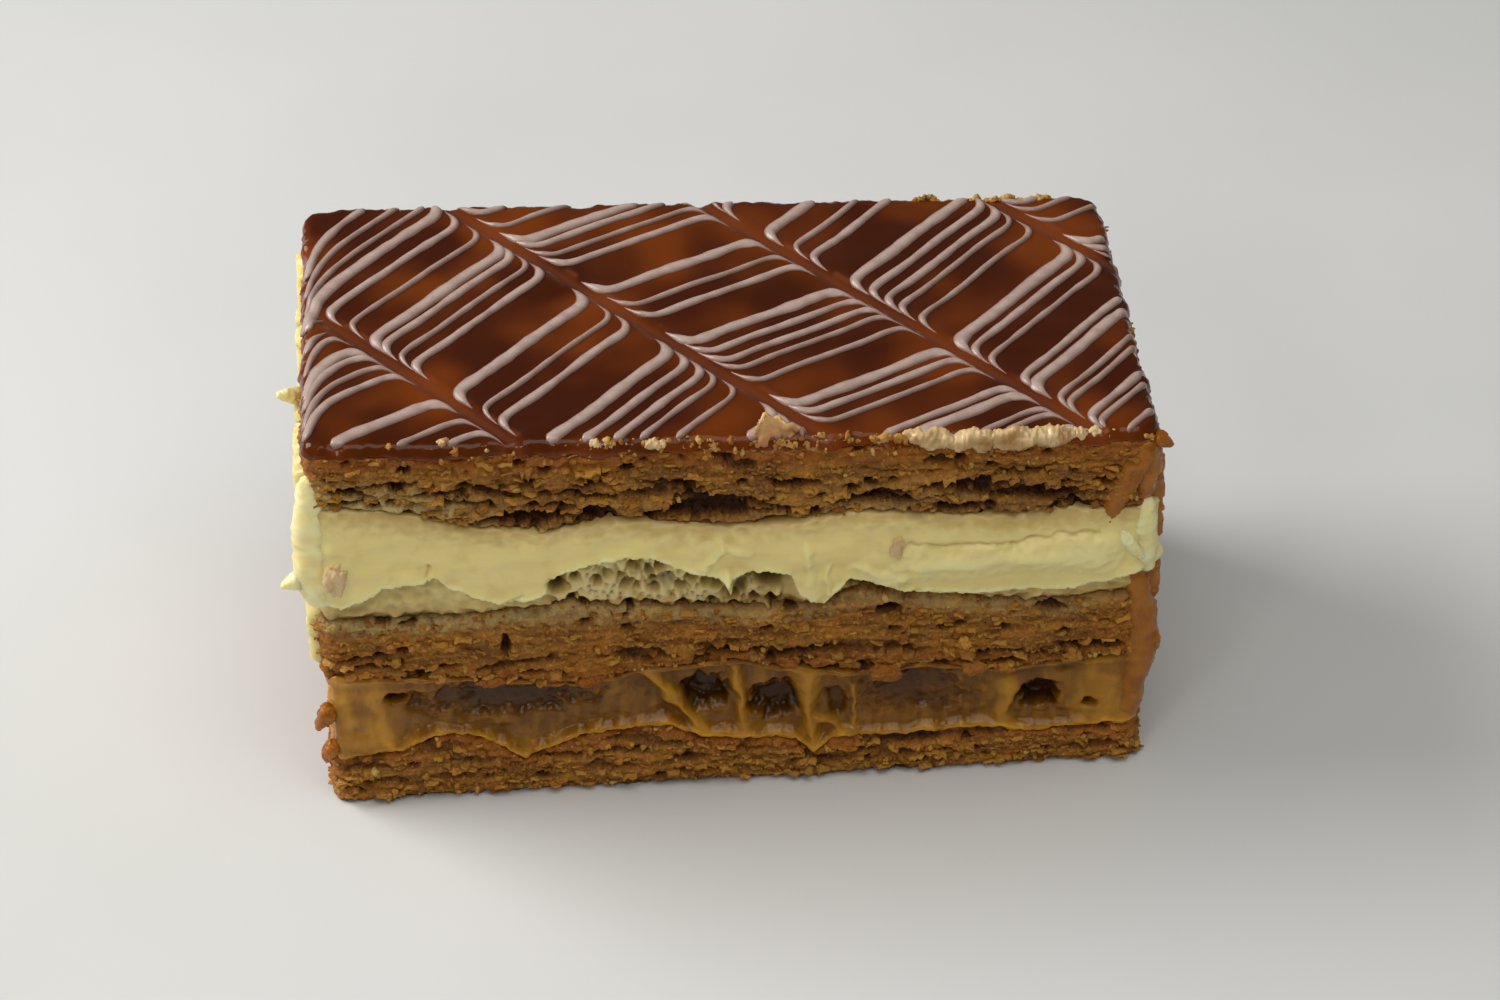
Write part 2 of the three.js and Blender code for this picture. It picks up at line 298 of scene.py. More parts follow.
def just_added(name: str) -> bpy.types.Object:
    """Names the object that was added last.

    Args:
        name: The piece's name.

    Returns:
        The object.
    """
    piece = bpy.context.object
    piece.name = piece.data.name = name
    return piece


def face_outward(piece: bpy.types.Object) -> None:
    """Turns all of a piece's faces outward."""
    with edit_mode(piece, Pick.FACES):
        bpy.ops.mesh.select_all(action="SELECT")
        bpy.ops.mesh.normals_make_consistent(inside=False)


def taken_pattern() -> tuple[Array, list]:
    """Reads the points and faces of the object that was added last, and removes it.

    Returns:
        Its points as rows, and the vertex numbers of each face.
    """
    pattern = bpy.context.object
    points = places(pattern.data)
    faces = [tuple(p.vertices) for p in pattern.data.polygons]
    bpy.data.objects.remove(pattern)
    return points, faces


def settle(piece: bpy.types.Object, points: Array, marks: dict[str, Array]) -> None:
    """Writes the finished points and named marks to a piece.

    Args:
        piece: The mesh object, with one row of points for each vertex.
        points: Places in the slice's millimetres.
        marks: Numbers per vertex that the finish reads by name.
    """
    mesh = piece.data
    mesh.vertices.foreach_set("co", FORM.place(points).astype(np.float32).ravel())
    for name, values in marks.items():
        layer = mesh.attributes.new(name, "FLOAT", "POINT")
        layer.data.foreach_set("value", values.astype(np.float32))
    mesh.update()


def from_arrays(name: str, points: Array, faces: list, marks: dict[str, Array]) -> bpy.types.Object:
    """Makes one joined mesh object from arrays, for things that are repeated many times.

    Args:
        name: The piece's name.
        points: Places in the slice's millimetres.
        faces: Vertex numbers of each face, anticlockwise from outside.
        marks: Numbers per vertex that the finish reads by name.

    Returns:
        The new object, at the origin.
    """
    mesh = bpy.data.meshes.new(name)
    mesh.from_pydata(np.zeros((len(points), 3)), [], faces)
    piece = bpy.data.objects.new(name, mesh)
    bpy.context.scene.collection.objects.link(piece)
    settle(piece, points, marks)
    return piece


def finish_piece(
    piece: bpy.types.Object, material: bpy.types.Material, nodes: Sequence[str] = ()
) -> None:
    """Smooths a piece, gives it its finish and ties it to the frame.

    Args:
        piece: The finished mesh object.
        material: Its finish.
        nodes: CAD nodes that the piece stands for.
    """
    bpy.ops.object.select_all(action="DESELECT")
    piece.select_set(True)
    bpy.context.view_layer.objects.active = piece
    bpy.ops.object.shade_smooth()
    piece.data.materials.clear()
    piece.data.materials.append(material)
    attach(piece, BODY)
    for node in nodes:
        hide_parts(node)
    LOG.info("%s: %d faces", piece.name, len(piece.data.polygons))


Value = Union[float, Sequence[float], Socket]


class Wiring:
    """Adds and joins shader nodes in one node tree."""

    def __init__(self, tree: bpy.types.NodeTree) -> None:
        """Keeps the tree to work in."""
        self.tree = tree

    def put(self, socket: Socket, value: Value) -> None:
        """Links a socket to another one, or sets its plain value."""
        if isinstance(value, bpy.types.NodeSocket):
            self.tree.links.new(value, socket)
        else:
            socket.default_value = value

    def add(self, kind: str, inputs: dict, **settings: object) -> bpy.types.Node:
        """Adds a node.

        Args:
            kind: The node's type name, without its leading ShaderNode.
            inputs: Values or sockets by the input's name or number.
            settings: The node's own settings.

        Returns:
            The new node.
        """
        node = self.tree.nodes.new("ShaderNode" + kind)
        for name, value in settings.items():
            setattr(node, name, value)
        for key, value in inputs.items():
            self.put(node.inputs[key], value)
        return node

    def object_places(self, stretch: Sequence[float] = (1, 1, 1)) -> Socket:
        """Object coordinates in millimetres, squeezed by a stretch along each axis."""
        place = self.add("TexCoord", {}).outputs["Object"]
        scale = [1 / METRE / s for s in stretch]
        return self.add("Mapping", {"Vector": place, "Scale": scale}).outputs["Vector"]

    def mark(self, name: str) -> Socket:
        """A piece's own mark by name."""
        return self.add("Attribute", {}, attribute_name=name).outputs["Fac"]

    def blend(self, share: Value, first: Value, second: Value) -> Socket:
        """Mixes two colours."""
        node = self.add("Mix", {0: share, 6: first, 7: second}, data_type="RGBA")
        return node.outputs[2]

    def sum(self, first: Value, second: Value, operation: str = "ADD") -> Socket:
        """Joins two values by an operation, kept between 0 and 1."""
        node = self.add("Math", {0: first, 1: second}, operation=operation, use_clamp=True)
        return node.outputs[0]

    def fit(self, value: Value, low: float, high: float) -> Socket:
        """Spreads a value of 0 to 1 over a new range."""
        return self.add("MapRange", {"Value": value, "To Min": low, "To Max": high}).outputs["Result"]

    def use(self, group: bpy.types.NodeTree, inputs: dict) -> bpy.types.Node:
        """Places a node group and sets its inputs."""
        node = self.tree.nodes.new("ShaderNodeGroup")
        node.node_tree = group
        for key, value in inputs.items():
            self.put(node.inputs[key], value)
        return node


class Patterns:
    """The shader node groups that several finishes share."""

    def __init__(self) -> None:
        """Builds each group once."""
        self.mottle = self._mottle()
        self.crumb = self._crumb()

    @staticmethod
    def _tree(name: str, numbers: dict[str, float], outputs: Sequence[str]) -> bpy.types.NodeTree:
        """Starts a group with a place, some numbers and named outputs.

        Args:
            name: The group's name.
            numbers: Its number inputs and their starting values.
            outputs: Its number outputs.

        Returns:
            The group's tree.
        """
        tree = bpy.data.node_groups.new(name, "ShaderNodeTree")
        tree.interface.new_socket("Place", in_out="INPUT", socket_type="NodeSocketVector")
        for key, value in numbers.items():
            socket = tree.interface.new_socket(key, in_out="INPUT", socket_type="NodeSocketFloat")
            socket.default_value = value
        for key in outputs:
            tree.interface.new_socket(key, in_out="OUTPUT", socket_type="NodeSocketFloat")
        return tree

    def _mottle(self) -> bpy.types.NodeTree:
        """Soft uneven patches: a mask between two noise levels."""
        tree = self._tree("Mottle", {"Size": 1.0, "Low": 0.4, "High": 0.6, "Detail": 4.0}, ["Mask"])
        wiring = Wiring(tree)
        given = tree.nodes.new("NodeGroupInput")
        scale = wiring.add("Math", {0: 1.0, 1: given.outputs["Size"]}, operation="DIVIDE")
        noise = wiring.add(
            "TexNoise",
            {"Vector": given.outputs["Place"], "Scale": scale.outputs[0], "Detail": given.outputs["Detail"]},
        )
        spread = wiring.add(
            "MapRange",
            {"Value": noise.outputs[0], 1: given.outputs["Low"], 2: given.outputs["High"]},
            interpolation_type="SMOOTHSTEP",
        )
        result = tree.nodes.new("NodeGroupOutput")
        tree.links.new(spread.outputs[0], result.inputs["Mask"])
        return tree

    def _crumb(self) -> bpy.types.NodeTree:
        """Fine rounded grains over rougher noise: a height and a mask of the grains' tops."""
        tree = self._tree("Crumb", {"Size": 1.0, "Roughness": 0.6}, ["Height", "Tops"])
        wiring = Wiring(tree)
        given = tree.nodes.new("NodeGroupInput")
        scale = wiring.add("Math", {0: 1.0, 1: given.outputs["Size"]}, operation="DIVIDE")
        place = given.outputs["Place"]
        grains = wiring.add("TexVoronoi", {"Vector": place, "Scale": scale.outputs[0]})
        noise = wiring.add(
            "TexNoise",
            {
                "Vector": place,
                "Scale": scale.outputs[0],
                "Detail": 6.0,
                "Roughness": given.outputs["Roughness"],
            },
        )
        tops = wiring.add(
            "MapRange",
            {"Value": grains.outputs["Distance"], 1: 0.65, 2: 0.1},
            interpolation_type="SMOOTHSTEP",
        )
        height = wiring.add("Math", {0: tops.outputs[0], 1: noise.outputs[0]}, operation="ADD")
        result = tree.nodes.new("NodeGroupOutput")
        tree.links.new(height.outputs[0], result.inputs["Height"])
        tree.links.new(tops.outputs[0], result.inputs["Tops"])
        return tree


PATTERNS = Patterns()


class Finish:
    """A material with its Principled shader, as the finishes start it."""

    def __init__(self, name: str, constants: dict[str, Value]) -> None:
        """Starts a material.

        Args:
            name: The material's name.
            constants: Plain values for the shader's own sockets.
        """
        self.material = bpy.data.materials.new(name)
        self.material.use_nodes = True
        self.wiring = Wiring(self.material.node_tree)
        self.shader = self.material.node_tree.nodes["Principled BSDF"]
        for key, value in constants.items():
            self.shader.inputs[key].default_value = value

    def wire(self, **sockets: Socket) -> None:
        """Joins sockets to the shader's inputs, named with _ for a space."""
        for key, socket in sockets.items():
            self.wiring.put(self.shader.inputs[key.replace("_", " ")], socket)

    def bump(self, height: Socket, depth: float, strength: float = 1.0) -> None:
        """Feeds a height in parts of a millimetre to the shader's normal."""
        inputs = {"Height": height, "Distance": depth * METRE, "Strength": strength}
        self.wire(Normal=self.wiring.add("Bump", inputs).outputs[0])


@dataclass(frozen=True)
class PastryFinish:
    """Baked puff pastry: brown streaked leaves, pale grains and stains of the fillings, with painted shade in
    its pores and hollows and painted highlights on its raised parts.
    """

    name: str = "puff_pastry"
    leaf: Colour = srgb(180, 118, 38)
    toast: Colour = srgb(128, 76, 16)
    # Pale grains, and the painted highlight that the crest mark lays on raised parts.
    grain_and_highlight: Colour = srgb(230, 172, 68)
    # Painted shade: the dark colour that the depth mark lays in the sheets' recesses; some loose flakes,
    # picked at random, take it as their own darker tone.
    dark_tone_and_shade: Colour = srgb(58, 24, 4)
    film: Colour = srgb(205, 186, 122)
    soak: Colour = srgb(160, 90, 16)

    def material(self) -> bpy.types.Material:
        """Builds the finish."""
        made = Finish(self.name, {"Specular IOR Level": 0.35})
        w = made.wiring
        plain = w.object_places()
        streaked = w.object_places((7.0, 7.0, 0.9))
        streaks = w.use(PATTERNS.mottle, {"Place": streaked, "Low": 0.36, "High": 0.64}).outputs[0]
        patches = w.use(PATTERNS.mottle, {"Place": plain, "Size": 5.0, "Low": 0.35, "High": 0.7}).outputs[0]
        crumb = w.use(PATTERNS.crumb, {"Place": plain, "Size": 0.62, "Roughness": 0.7})
        fine = w.use(PATTERNS.mottle, {"Place": plain, "Size": 0.5, "Low": 0.5, "High": 0.75}).outputs[0]
        colour = w.blend(streaks, self.toast, self.leaf)
        colour = w.blend(w.fit(patches, 0.0, 0.45), colour, self.toast)
        colour = w.blend(w.fit(fine, 0.0, 0.5), colour, self.grain_and_highlight)
        # Painted highlight on the sheets' raised parts; on crumbs, flakes and crust, a paler tone picked at
        # random.
        colour = w.blend(w.mark("pale_tone_and_highlight"), colour, self.grain_and_highlight)
        colour = w.blend(w.mark("soak"), colour, self.soak)
        colour = w.blend(w.mark("film"), colour, self.film)
        # Painted shade in the pores, gaps, hollows and rounded seams, laid on by the depth mark.
        colour = w.blend(w.mark("depth"), colour, self.dark_tone_and_shade)
        made.wire(Base_Color=colour, Roughness=w.fit(patches, 0.78, 0.5))
        made.bump(crumb.outputs["Height"], 0.22, 0.8)
        return made.material


@dataclass(frozen=True)
class CreamFinish:
    """Set vanilla cream: satin and pale yellow, with painted shade in its torn hollows and under its torn
    lip, and painted highlights on its crests.
    """

    name: str = "vanilla_cream"
    body: Colour = srgb(244, 226, 150)
    deep: Colour = srgb(216, 192, 104)
    # Painted shade: the colour of the cream's hollows and sunk parts.
    hollow: Colour = srgb(118, 96, 44)
    # A brown film along the seams, and painted shade under the torn lip.
    stain_and_shade: Colour = srgb(180, 138, 66)
    # Painted highlight: the colour of the lip's crest, the sponge's ridges and the raised lumps.
    pale_tone_and_highlight: Colour = srgb(255, 246, 190)

    def material(self) -> bpy.types.Material:
        """Builds the finish."""
        made = Finish(
            self.name,
            {
                "Subsurface Weight": 0.35,
                "Subsurface Radius": (1.0, 0.75, 0.3),
                "Subsurface Scale": 2.2 * METRE,
                "Specular IOR Level": 0.5,
            },
        )
        w = made.wiring
        plain = w.object_places()
        smeared = w.object_places((9.0, 9.0, 1.6))
        smears = w.use(PATTERNS.mottle, {"Place": smeared, "Low": 0.35, "High": 0.7}).outputs[0]
        patches = w.use(PATTERNS.mottle, {"Place": plain, "Size": 3.0, "Low": 0.5, "High": 0.8}).outputs[0]
        crumb = w.use(PATTERNS.crumb, {"Place": smeared, "Size": 0.8, "Roughness": 0.5})
        colour = w.blend(w.fit(smears, 0.0, 0.2), self.body, self.deep)
        colour = w.blend(w.fit(patches, 0.0, 0.45), colour, self.deep)
        # Painted highlight on the cream's crests.
        colour = w.blend(w.mark("pale_tone_and_highlight"), colour, self.pale_tone_and_highlight)
        # Brown film near the seams, and painted shade under the lip.
        colour = w.blend(w.mark("stain_and_shade"), colour, self.stain_and_shade)
        # Painted shade in the cream's hollows, laid on by the depth mark.
        colour = w.blend(w.mark("depth"), colour, self.hollow)
        made.wire(Base_Color=colour, Roughness=w.fit(smears, 0.42, 0.28))
        made.bump(crumb.outputs["Height"], 0.05, 0.25)
        return made.material


@dataclass(frozen=True)
class CaramelFinish:
    """Set caramel custard: glossy and amber, with painted shade where it sinks into hollows and voids, and
    bright where it is thin.
    """

    name: str = "caramel"
    body: Colour = srgb(138, 86, 10)
    # Painted shade: the colour of the caramel's hollows and voids.
    deep: Colour = srgb(66, 36, 3)
    thin: Colour = srgb(216, 158, 44)

    def material(self) -> bpy.types.Material:
        """Builds the finish."""
        made = Finish(
            self.name,
            {
                "Subsurface Weight": 0.3,
                "Subsurface Radius": (1.0, 0.45, 0.12),
                "Subsurface Scale": 2.0 * METRE,
                "Specular IOR Level": 0.3,
            },
        )
        w = made.wiring
        plain = w.object_places()
        drawn = w.object_places((1.6, 1.6, 5.0))
        streaks = w.use(PATTERNS.mottle, {"Place": drawn, "Low": 0.4, "High": 0.7}).outputs[0]
        patches = w.use(PATTERNS.mottle, {"Place": plain, "Size": 4.0, "Low": 0.4, "High": 0.7}).outputs[0]
        colour = w.blend(w.fit(streaks, 0.0, 0.35), self.body, self.thin)
        # Painted shade in the hollows and voids, laid on by the depth mark.
        colour = w.blend(w.mark("depth"), colour, self.deep)
        colour = w.blend(w.mark("thin"), colour, self.thin)
        made.wire(Base_Color=colour, Roughness=w.fit(patches, 0.16, 0.34))
        made.bump(w.sum(streaks, patches), 0.12, 0.6)
        return made.material


@dataclass(frozen=True)
class GlazeFinish:
    """Poured caramel glaze: dark red brown, amber where it is thin, milky along the drag marks."""

    name: str = "glaze"
    body: Colour = srgb(64, 23, 2)
    light: Colour = srgb(112, 50, 5)
    amber: Colour = srgb(150, 70, 8)
    milky: Colour = srgb(116, 60, 34)

    def material(self) -> bpy.types.Material:
        """Builds the finish."""
        made = Finish(self.name, {"Specular IOR Level": 0.22})
        w = made.wiring
        plain = w.object_places()
        pooled = {"Place": plain, "Size": 12.0, "Low": 0.36, "High": 0.74, "Detail": 1.2}
        pools = w.use(PATTERNS.mottle, pooled).outputs[0]
        specks = w.use(PATTERNS.mottle, {"Place": plain, "Size": 0.55, "Low": 0.72, "High": 0.8}).outputs[0]
        ripple = w.use(PATTERNS.mottle, {"Place": plain, "Size": 2.2, "Low": 0.2, "High": 0.8}).outputs[0]
        colour = w.blend(pools, self.body, self.light)
        colour = w.blend(w.fit(specks, 0.0, 0.35), colour, self.milky)
        colour = w.blend(w.mark("spine"), colour, self.milky)
        colour = w.blend(w.mark("thin"), colour, self.amber)
        made.wire(Base_Color=colour, Roughness=w.fit(pools, 0.12, 0.2))
        made.bump(ripple, 0.05, 0.4)
        return made.material


@dataclass(frozen=True)
class IcingFinish:
    """Thin white icing over the brown glaze: mauve where it is thin, whiter along its crown."""

    name: str = "white_icing"
    crown: Colour = srgb(188, 167, 156)
    thin: Colour = srgb(128, 90, 74)

    def material(self) -> bpy.types.Material:
        """Builds the finish."""
        made = Finish(
            self.name,
            {
                "Subsurface Weight": 0.2,
                "Subsurface Radius": (1.0, 0.7, 0.5),
                "Subsurface Scale": 0.6 * METRE,
                "Specular IOR Level": 0.5,
            },
        )
        w = made.wiring
        plain = w.object_places()
        patches = w.use(PATTERNS.mottle, {"Place": plain, "Size": 1.6, "Low": 0.35, "High": 0.7}).outputs[0]
        colour = w.blend(w.mark("crown"), self.thin, self.crown)
        colour = w.blend(w.fit(patches, 0.0, 0.3), colour, self.thin)
        made.wire(Base_Color=colour, Roughness=w.fit(patches, 0.22, 0.4))
        made.bump(patches, 0.03, 0.4)
        return made.material


@dataclass(frozen=True)
class Seam:
    """A joint between two layers: its level, and how far it rises along the front."""

    level: float
    front: Points = ((0.0, 0.0),)
    wave: float = 0.7
    spacing: float = 7.0
    seed: int = 0

    def rise(self, xy: Array, front: Array) -> Array:
        """How far the joint lies above its level.

        Args:
            xy: Places round or in the slice.
            front: Share of each place that belongs to the front.

        Returns:
            Heights in millimetres.
        """
        spots = np.column_stack([xy / self.spacing, np.full(len(xy), self.level)])
        loose = self.wave * Noise.fractal(spots, self.seed, 3)
        return loose * (1 - 0.5 * front) + along(self.front, xy[:, 0]) * front


@dataclass
class Surface:
    """What a relief needs to know of each vertex round a layer."""

    xy: Array
    level: Array  # nominal height above the underside
    t: Array  # share of the layer's thickness
    outward: Array
    edge: Array  # distance from the nearer seam
    front: Array
    corner: Array

    def spots(self, stretch: Sequence[float]) -> Array:
        """Places for noise, with its lumps stretched by so many millimetres along each axis."""
        return np.column_stack([self.xy, self.level]) / np.array(stretch)

    @cached_property
    def wandered(self) -> Array:
        """Places on the front as (x, level) rows, moved about a little so that strokes wander."""
        sway = 0.7 * Noise.fractal(self.spots((3, 3, 3)), 5, 2)
        lift = 0.5 * Noise.fractal(self.spots((2.4, 2.4, 2.4)), 6, 2)
        return np.column_stack([self.xy[:, 0] + sway, self.level + lift])


@dataclass(frozen=True)
class Hollow:
    """A pore, gap or bubble in the front: its middle, half sizes and depth."""

    x: float
    level: float
    half_x: float
    half_z: float
    deep: float

    def carve(self, at: Surface, rough: Array) -> Array:
        """How far the hollow goes in at each place, with a rough rim."""
        reach = np.hypot((at.xy[:, 0] - self.x) / self.half_x, (at.level - self.level) / self.half_z)
        return self.deep * ease(1.1, 0.5, reach + 0.3 * rough) * at.front


@dataclass(frozen=True)
class Strand:
    """A drawn strand or lump on the front: a stroke from one place to another, and how far it stands out."""

    start: tuple[float, float]
    end: tuple[float, float]
    half: float
    rise: float
    flare: float = 1.0  # width at the end as a share of the width at the start

    def share(self, at: Surface, rough: Array) -> Array:
        """How much of the stroke is at each place, from 0 to 1."""
        way = np.array(self.end) - np.array(self.start)
        here = at.wandered - np.array(self.start)
        t = np.clip(here @ way / (way @ way), 0, 1)
        apart = np.linalg.norm(here - t[:, None] * way, axis=1)
        half = self.half * (1 + (self.flare - 1) * t) * (0.7 + 1.6 * (t - 0.5) ** 2)
        return ease(1.45, 0.0, apart / half + 0.3 * rough) * at.front


def deepest(hollows: Sequence[Hollow], at: Surface, rough: Array) -> Array:
    """The depth of the deepest hollow at each place."""
    depth = np.zeros(len(at.level))
    for hollow in hollows:
        depth = np.maximum(depth, hollow.carve(at, rough))
    return depth


@dataclass
class Layer:
    """A sheet or filling that runs through the slice, with relief all round its side."""

    node: str
    name: str
    slot: str
    base: Seam
    top: Seam
    seed: int
    row: float = 0.25
    rim: float = 2.0
    piece: bpy.types.Object = field(init=False, default=None)
    at: Surface = field(init=False, default=None)
    points: Array = field(init=False, default=None)

    def block(self) -> bpy.types.Object:
        """Extrudes the outline into a closed block, with a rim in both caps and even rows up its side."""
        outline = FORM.outline()
        count = len(outline)
        bpy.ops.object.select_all(action="DESELECT")
        bpy.ops.mesh.primitive_circle_add(vertices=count, radius=1.0, fill_type="NGON")
        piece = just_added(self.name)
        flat = np.column_stack([outline, np.full(count, self.base.level)])
        piece.data.vertices.foreach_set("co", flat.ravel())
        thick = self.top.level - self.base.level
        with edit_mode(piece, Pick.FACES):
            bpy.ops.mesh.select_all(action="SELECT")
            bpy.ops.mesh.extrude_region_move(TRANSFORM_OT_translate={"value": (0, 0, thick)})
            bpy.ops.mesh.inset(thickness=self.rim)
        half_way = self.base.level + thick / 2
        lowest = [len(p.vertices) == count and p.center.z < half_way for p in piece.data.polygons]
        choose(piece, Pick.FACES, np.array(lowest))
        with edit_mode(piece, Pick.FACES):
            bpy.ops.mesh.inset(thickness=self.rim)
        ends = places(piece.data)[edge_ends(piece.data)]
        choose(piece, Pick.EDGES, np.abs(ends[:, 0, 2] - ends[:, 1, 2]) > thick / 2)
        with edit_mode(piece, Pick.EDGES):
            bpy.ops.mesh.subdivide(number_cuts=round(thick / self.row) - 1)
            bpy.ops.mesh.select_all(action="SELECT")
            bpy.ops.mesh.normals_make_consistent(inside=False)
        return piece

    def survey(self, points: Array) -> Surface:
        """Works out what the relief needs from the plain block's points."""
        xy = points[:, :2]
        outward = FORM.outward(xy)
        level = points[:, 2]
        thick = self.top.level - self.base.level
        t = (level - self.base.level) / thick
        edge = np.minimum(t, 1 - t) * thick
        front = ease(0.55, 0.9, -outward[:, 1])
        corner = 2 * np.abs(outward[:, 0] * outward[:, 1])
        return Surface(xy, level, t, outward, edge, front, corner)

    def relief(self, at: Surface) -> tuple[Array, dict[str, Array]]:
        """How far the side stands out, and the marks for the finish. Each kind of layer has its own."""
        raise NotImplementedError

    def build(self, material: bpy.types.Material) -> None:
        """Models the layer, lays its relief on it and dresses it.

        Args:
            material: The layer's finish.
        """
        self.piece = self.block()
        points = places(self.piece.data)
        at = self.survey(points)
        rise_base = self.base.rise(at.xy, at.front)
        rise_top = self.top.rise(at.xy, at.front)
        at.level = at.level + rise_base * (1 - at.t) + rise_top * at.t
        out, marks = self.relief(at)
        on_side = FORM.inside(at.xy) < self.rim / 2
        out = np.where(on_side, out * (1 - 0.55 * at.corner), 0)
        points[:, :2] += at.outward * out[:, None]
        points[:, 2] = at.level * FORM.lean(at.xy[:, 0])
        self.at = at
        self.points = points
        settle(self.piece, points, marks)
        finish_piece(self.piece, material, [self.node])


@dataclass
class PastrySheet(Layer):
    """A sheet of puff pastry: thin uneven leaves with grains, pores and torn gaps between them."""

    leaf: float = 0.85
    leaf_stagger: float = 0.5
    leaf_reach: float = 4.5  # length over which a leaf's edge runs in or out
    wave: float = 0.5
    wave_size: Stretch = (11.0, 11.0, 4.0)
    ripple: float = 0.15
    ripple_size: Stretch = (2.0, 2.0, 2.0)
    rough_size: Stretch = (1.3, 1.3, 0.9)
    lump_size: Stretch = (1.25, 1.25, 0.95)
    grain_size: Stretch = (0.6, 0.6, 0.5)
    gap_size: Stretch = (8.0, 8.0, 1.5)
    pore_wide: float = 2.3
    pore_share: float = 0.2
    pore_tall: float = 1.3
    pore_deep: float = 1.6
    crease_deep: float = 0.17
    lump_rise: float = 0.62
    grain_rise: float = 0.34
    gap_deep: float = 1.8
    gap_from: float = 0.0  # the torn leaves lie between these shares of the thickness
    gap_to: float = 0.5
    hollows: Sequence[Hollow] = ()
    film: Points = ((-50.0, 0.0), (50.0, 0.0))  # share of cream film along the front
    film_at: float = 0.0  # share of the thickness where the film is thickest
    film_reach: float = 0.4
    soak_at: float = 2.0  # share of the thickness that glaze or caramel has soaked, if any
    foot_round: float = 0.8
    head_round: float = 0.8
    end_soak: Points = ((-50, 0.8), (-47.5, 0.3), (-45, 0.0), (42, 0.0), (45.5, 0.5), (50, 0.95))

    def relief(self, at: Surface) -> tuple[Array, dict[str, Array]]:
        """Leaves, grains, pores and gaps.

        Args:
            at: The side's places.

        Returns:
            How far it stands out, and the marks depth, film, soak and crest; depth is painted shade in the
            recesses, crest a painted highlight on the raised parts.
        """
        s = self.seed
        wavy = at.level + self.wave * Noise.fractal(at.spots(self.wave_size), s)
        wavy = wavy + self.ripple * Noise.smooth(at.spots(self.ripple_size), s + 1)
        sheet = np.floor(wavy / self.leaf)
        within = wavy / self.leaf - sheet
        by_sheet = np.column_stack([at.xy / self.leaf_reach, sheet * 3.7])
        stagger = Noise.smooth(by_sheet, s + 2) + 0.6 * Noise.smooth(by_sheet * (3.1, 3.1, 1), s + 3)
        crease = np.abs(2 * within - 1) ** 3
        rough = Noise.fractal(at.spots(self.rough_size), s + 4)
        lumps, _ = Noise.cells(at.spots(self.lump_size), s + 5)
        grains, _ = Noise.cells(at.spots(self.grain_size), s + 6)
        apart, number = Noise.cells(at.spots((self.pore_wide, self.pore_wide, self.pore_tall)), s + 7)
        pores = self.pore_deep * ease(0.48, 0.2, apart + 0.1 * rough) * (number < self.pore_share)
        torn = ease(self.gap_from - 0.15, self.gap_from + 0.1, at.t)
        torn = torn * ease(self.gap_to + 0.15, self.gap_to - 0.1, at.t)
        gap = Noise.fractal(at.spots(self.gap_size), s + 8)
        gaps = self.gap_deep * ease(0.1, 0.36, gap + 0.14 * rough) * torn
        dug = np.maximum(np.maximum(pores, gaps), deepest(self.hollows, at, rough))
        rounding = np.where(at.t > 0.5, self.head_round, self.foot_round)
        rounded = rounding * ease(0.9, 0.0, at.edge + 0.35 * rough)
        out = 0.15 + self.leaf_stagger * stagger - self.crease_deep * crease
        out = out + self.lump_rise * (0.45 - lumps) + self.grain_rise * (0.4 - grains)
        out = out - dug - rounded
        film = along(self.film, at.xy[:, 0]) * at.front + 0.35 * (1 - at.front)
        film = film * ease(self.film_reach, 0.0, np.abs(at.t - self.film_at) + 0.12 * rough)
        soak = ease(0.32, 0.05, np.abs(at.t - self.soak_at) + 0.1 * rough)
        soak = np.maximum(soak, along(self.end_soak, at.xy[:, 0]) * ease(-0.7, 0.1, rough))
        # Painted shade: the side is painted darker the further it sinks in.
        depth = ease(0.1, 1.9, 0.1 - out)
        # Painted highlight: the parts that stand out most are painted paler.
        pale_tone_and_highlight = 0.75 * ease(0.15, 0.95, out + 0.25 * rough)
        film = np.clip(film, 0, 1) * ease(0.6, 0.1, depth)
        return out, {"depth": 0.95 * depth, "film": film, "soak": 0.8 * soak, "pale_tone_and_highlight": pale_tone_and_highlight}


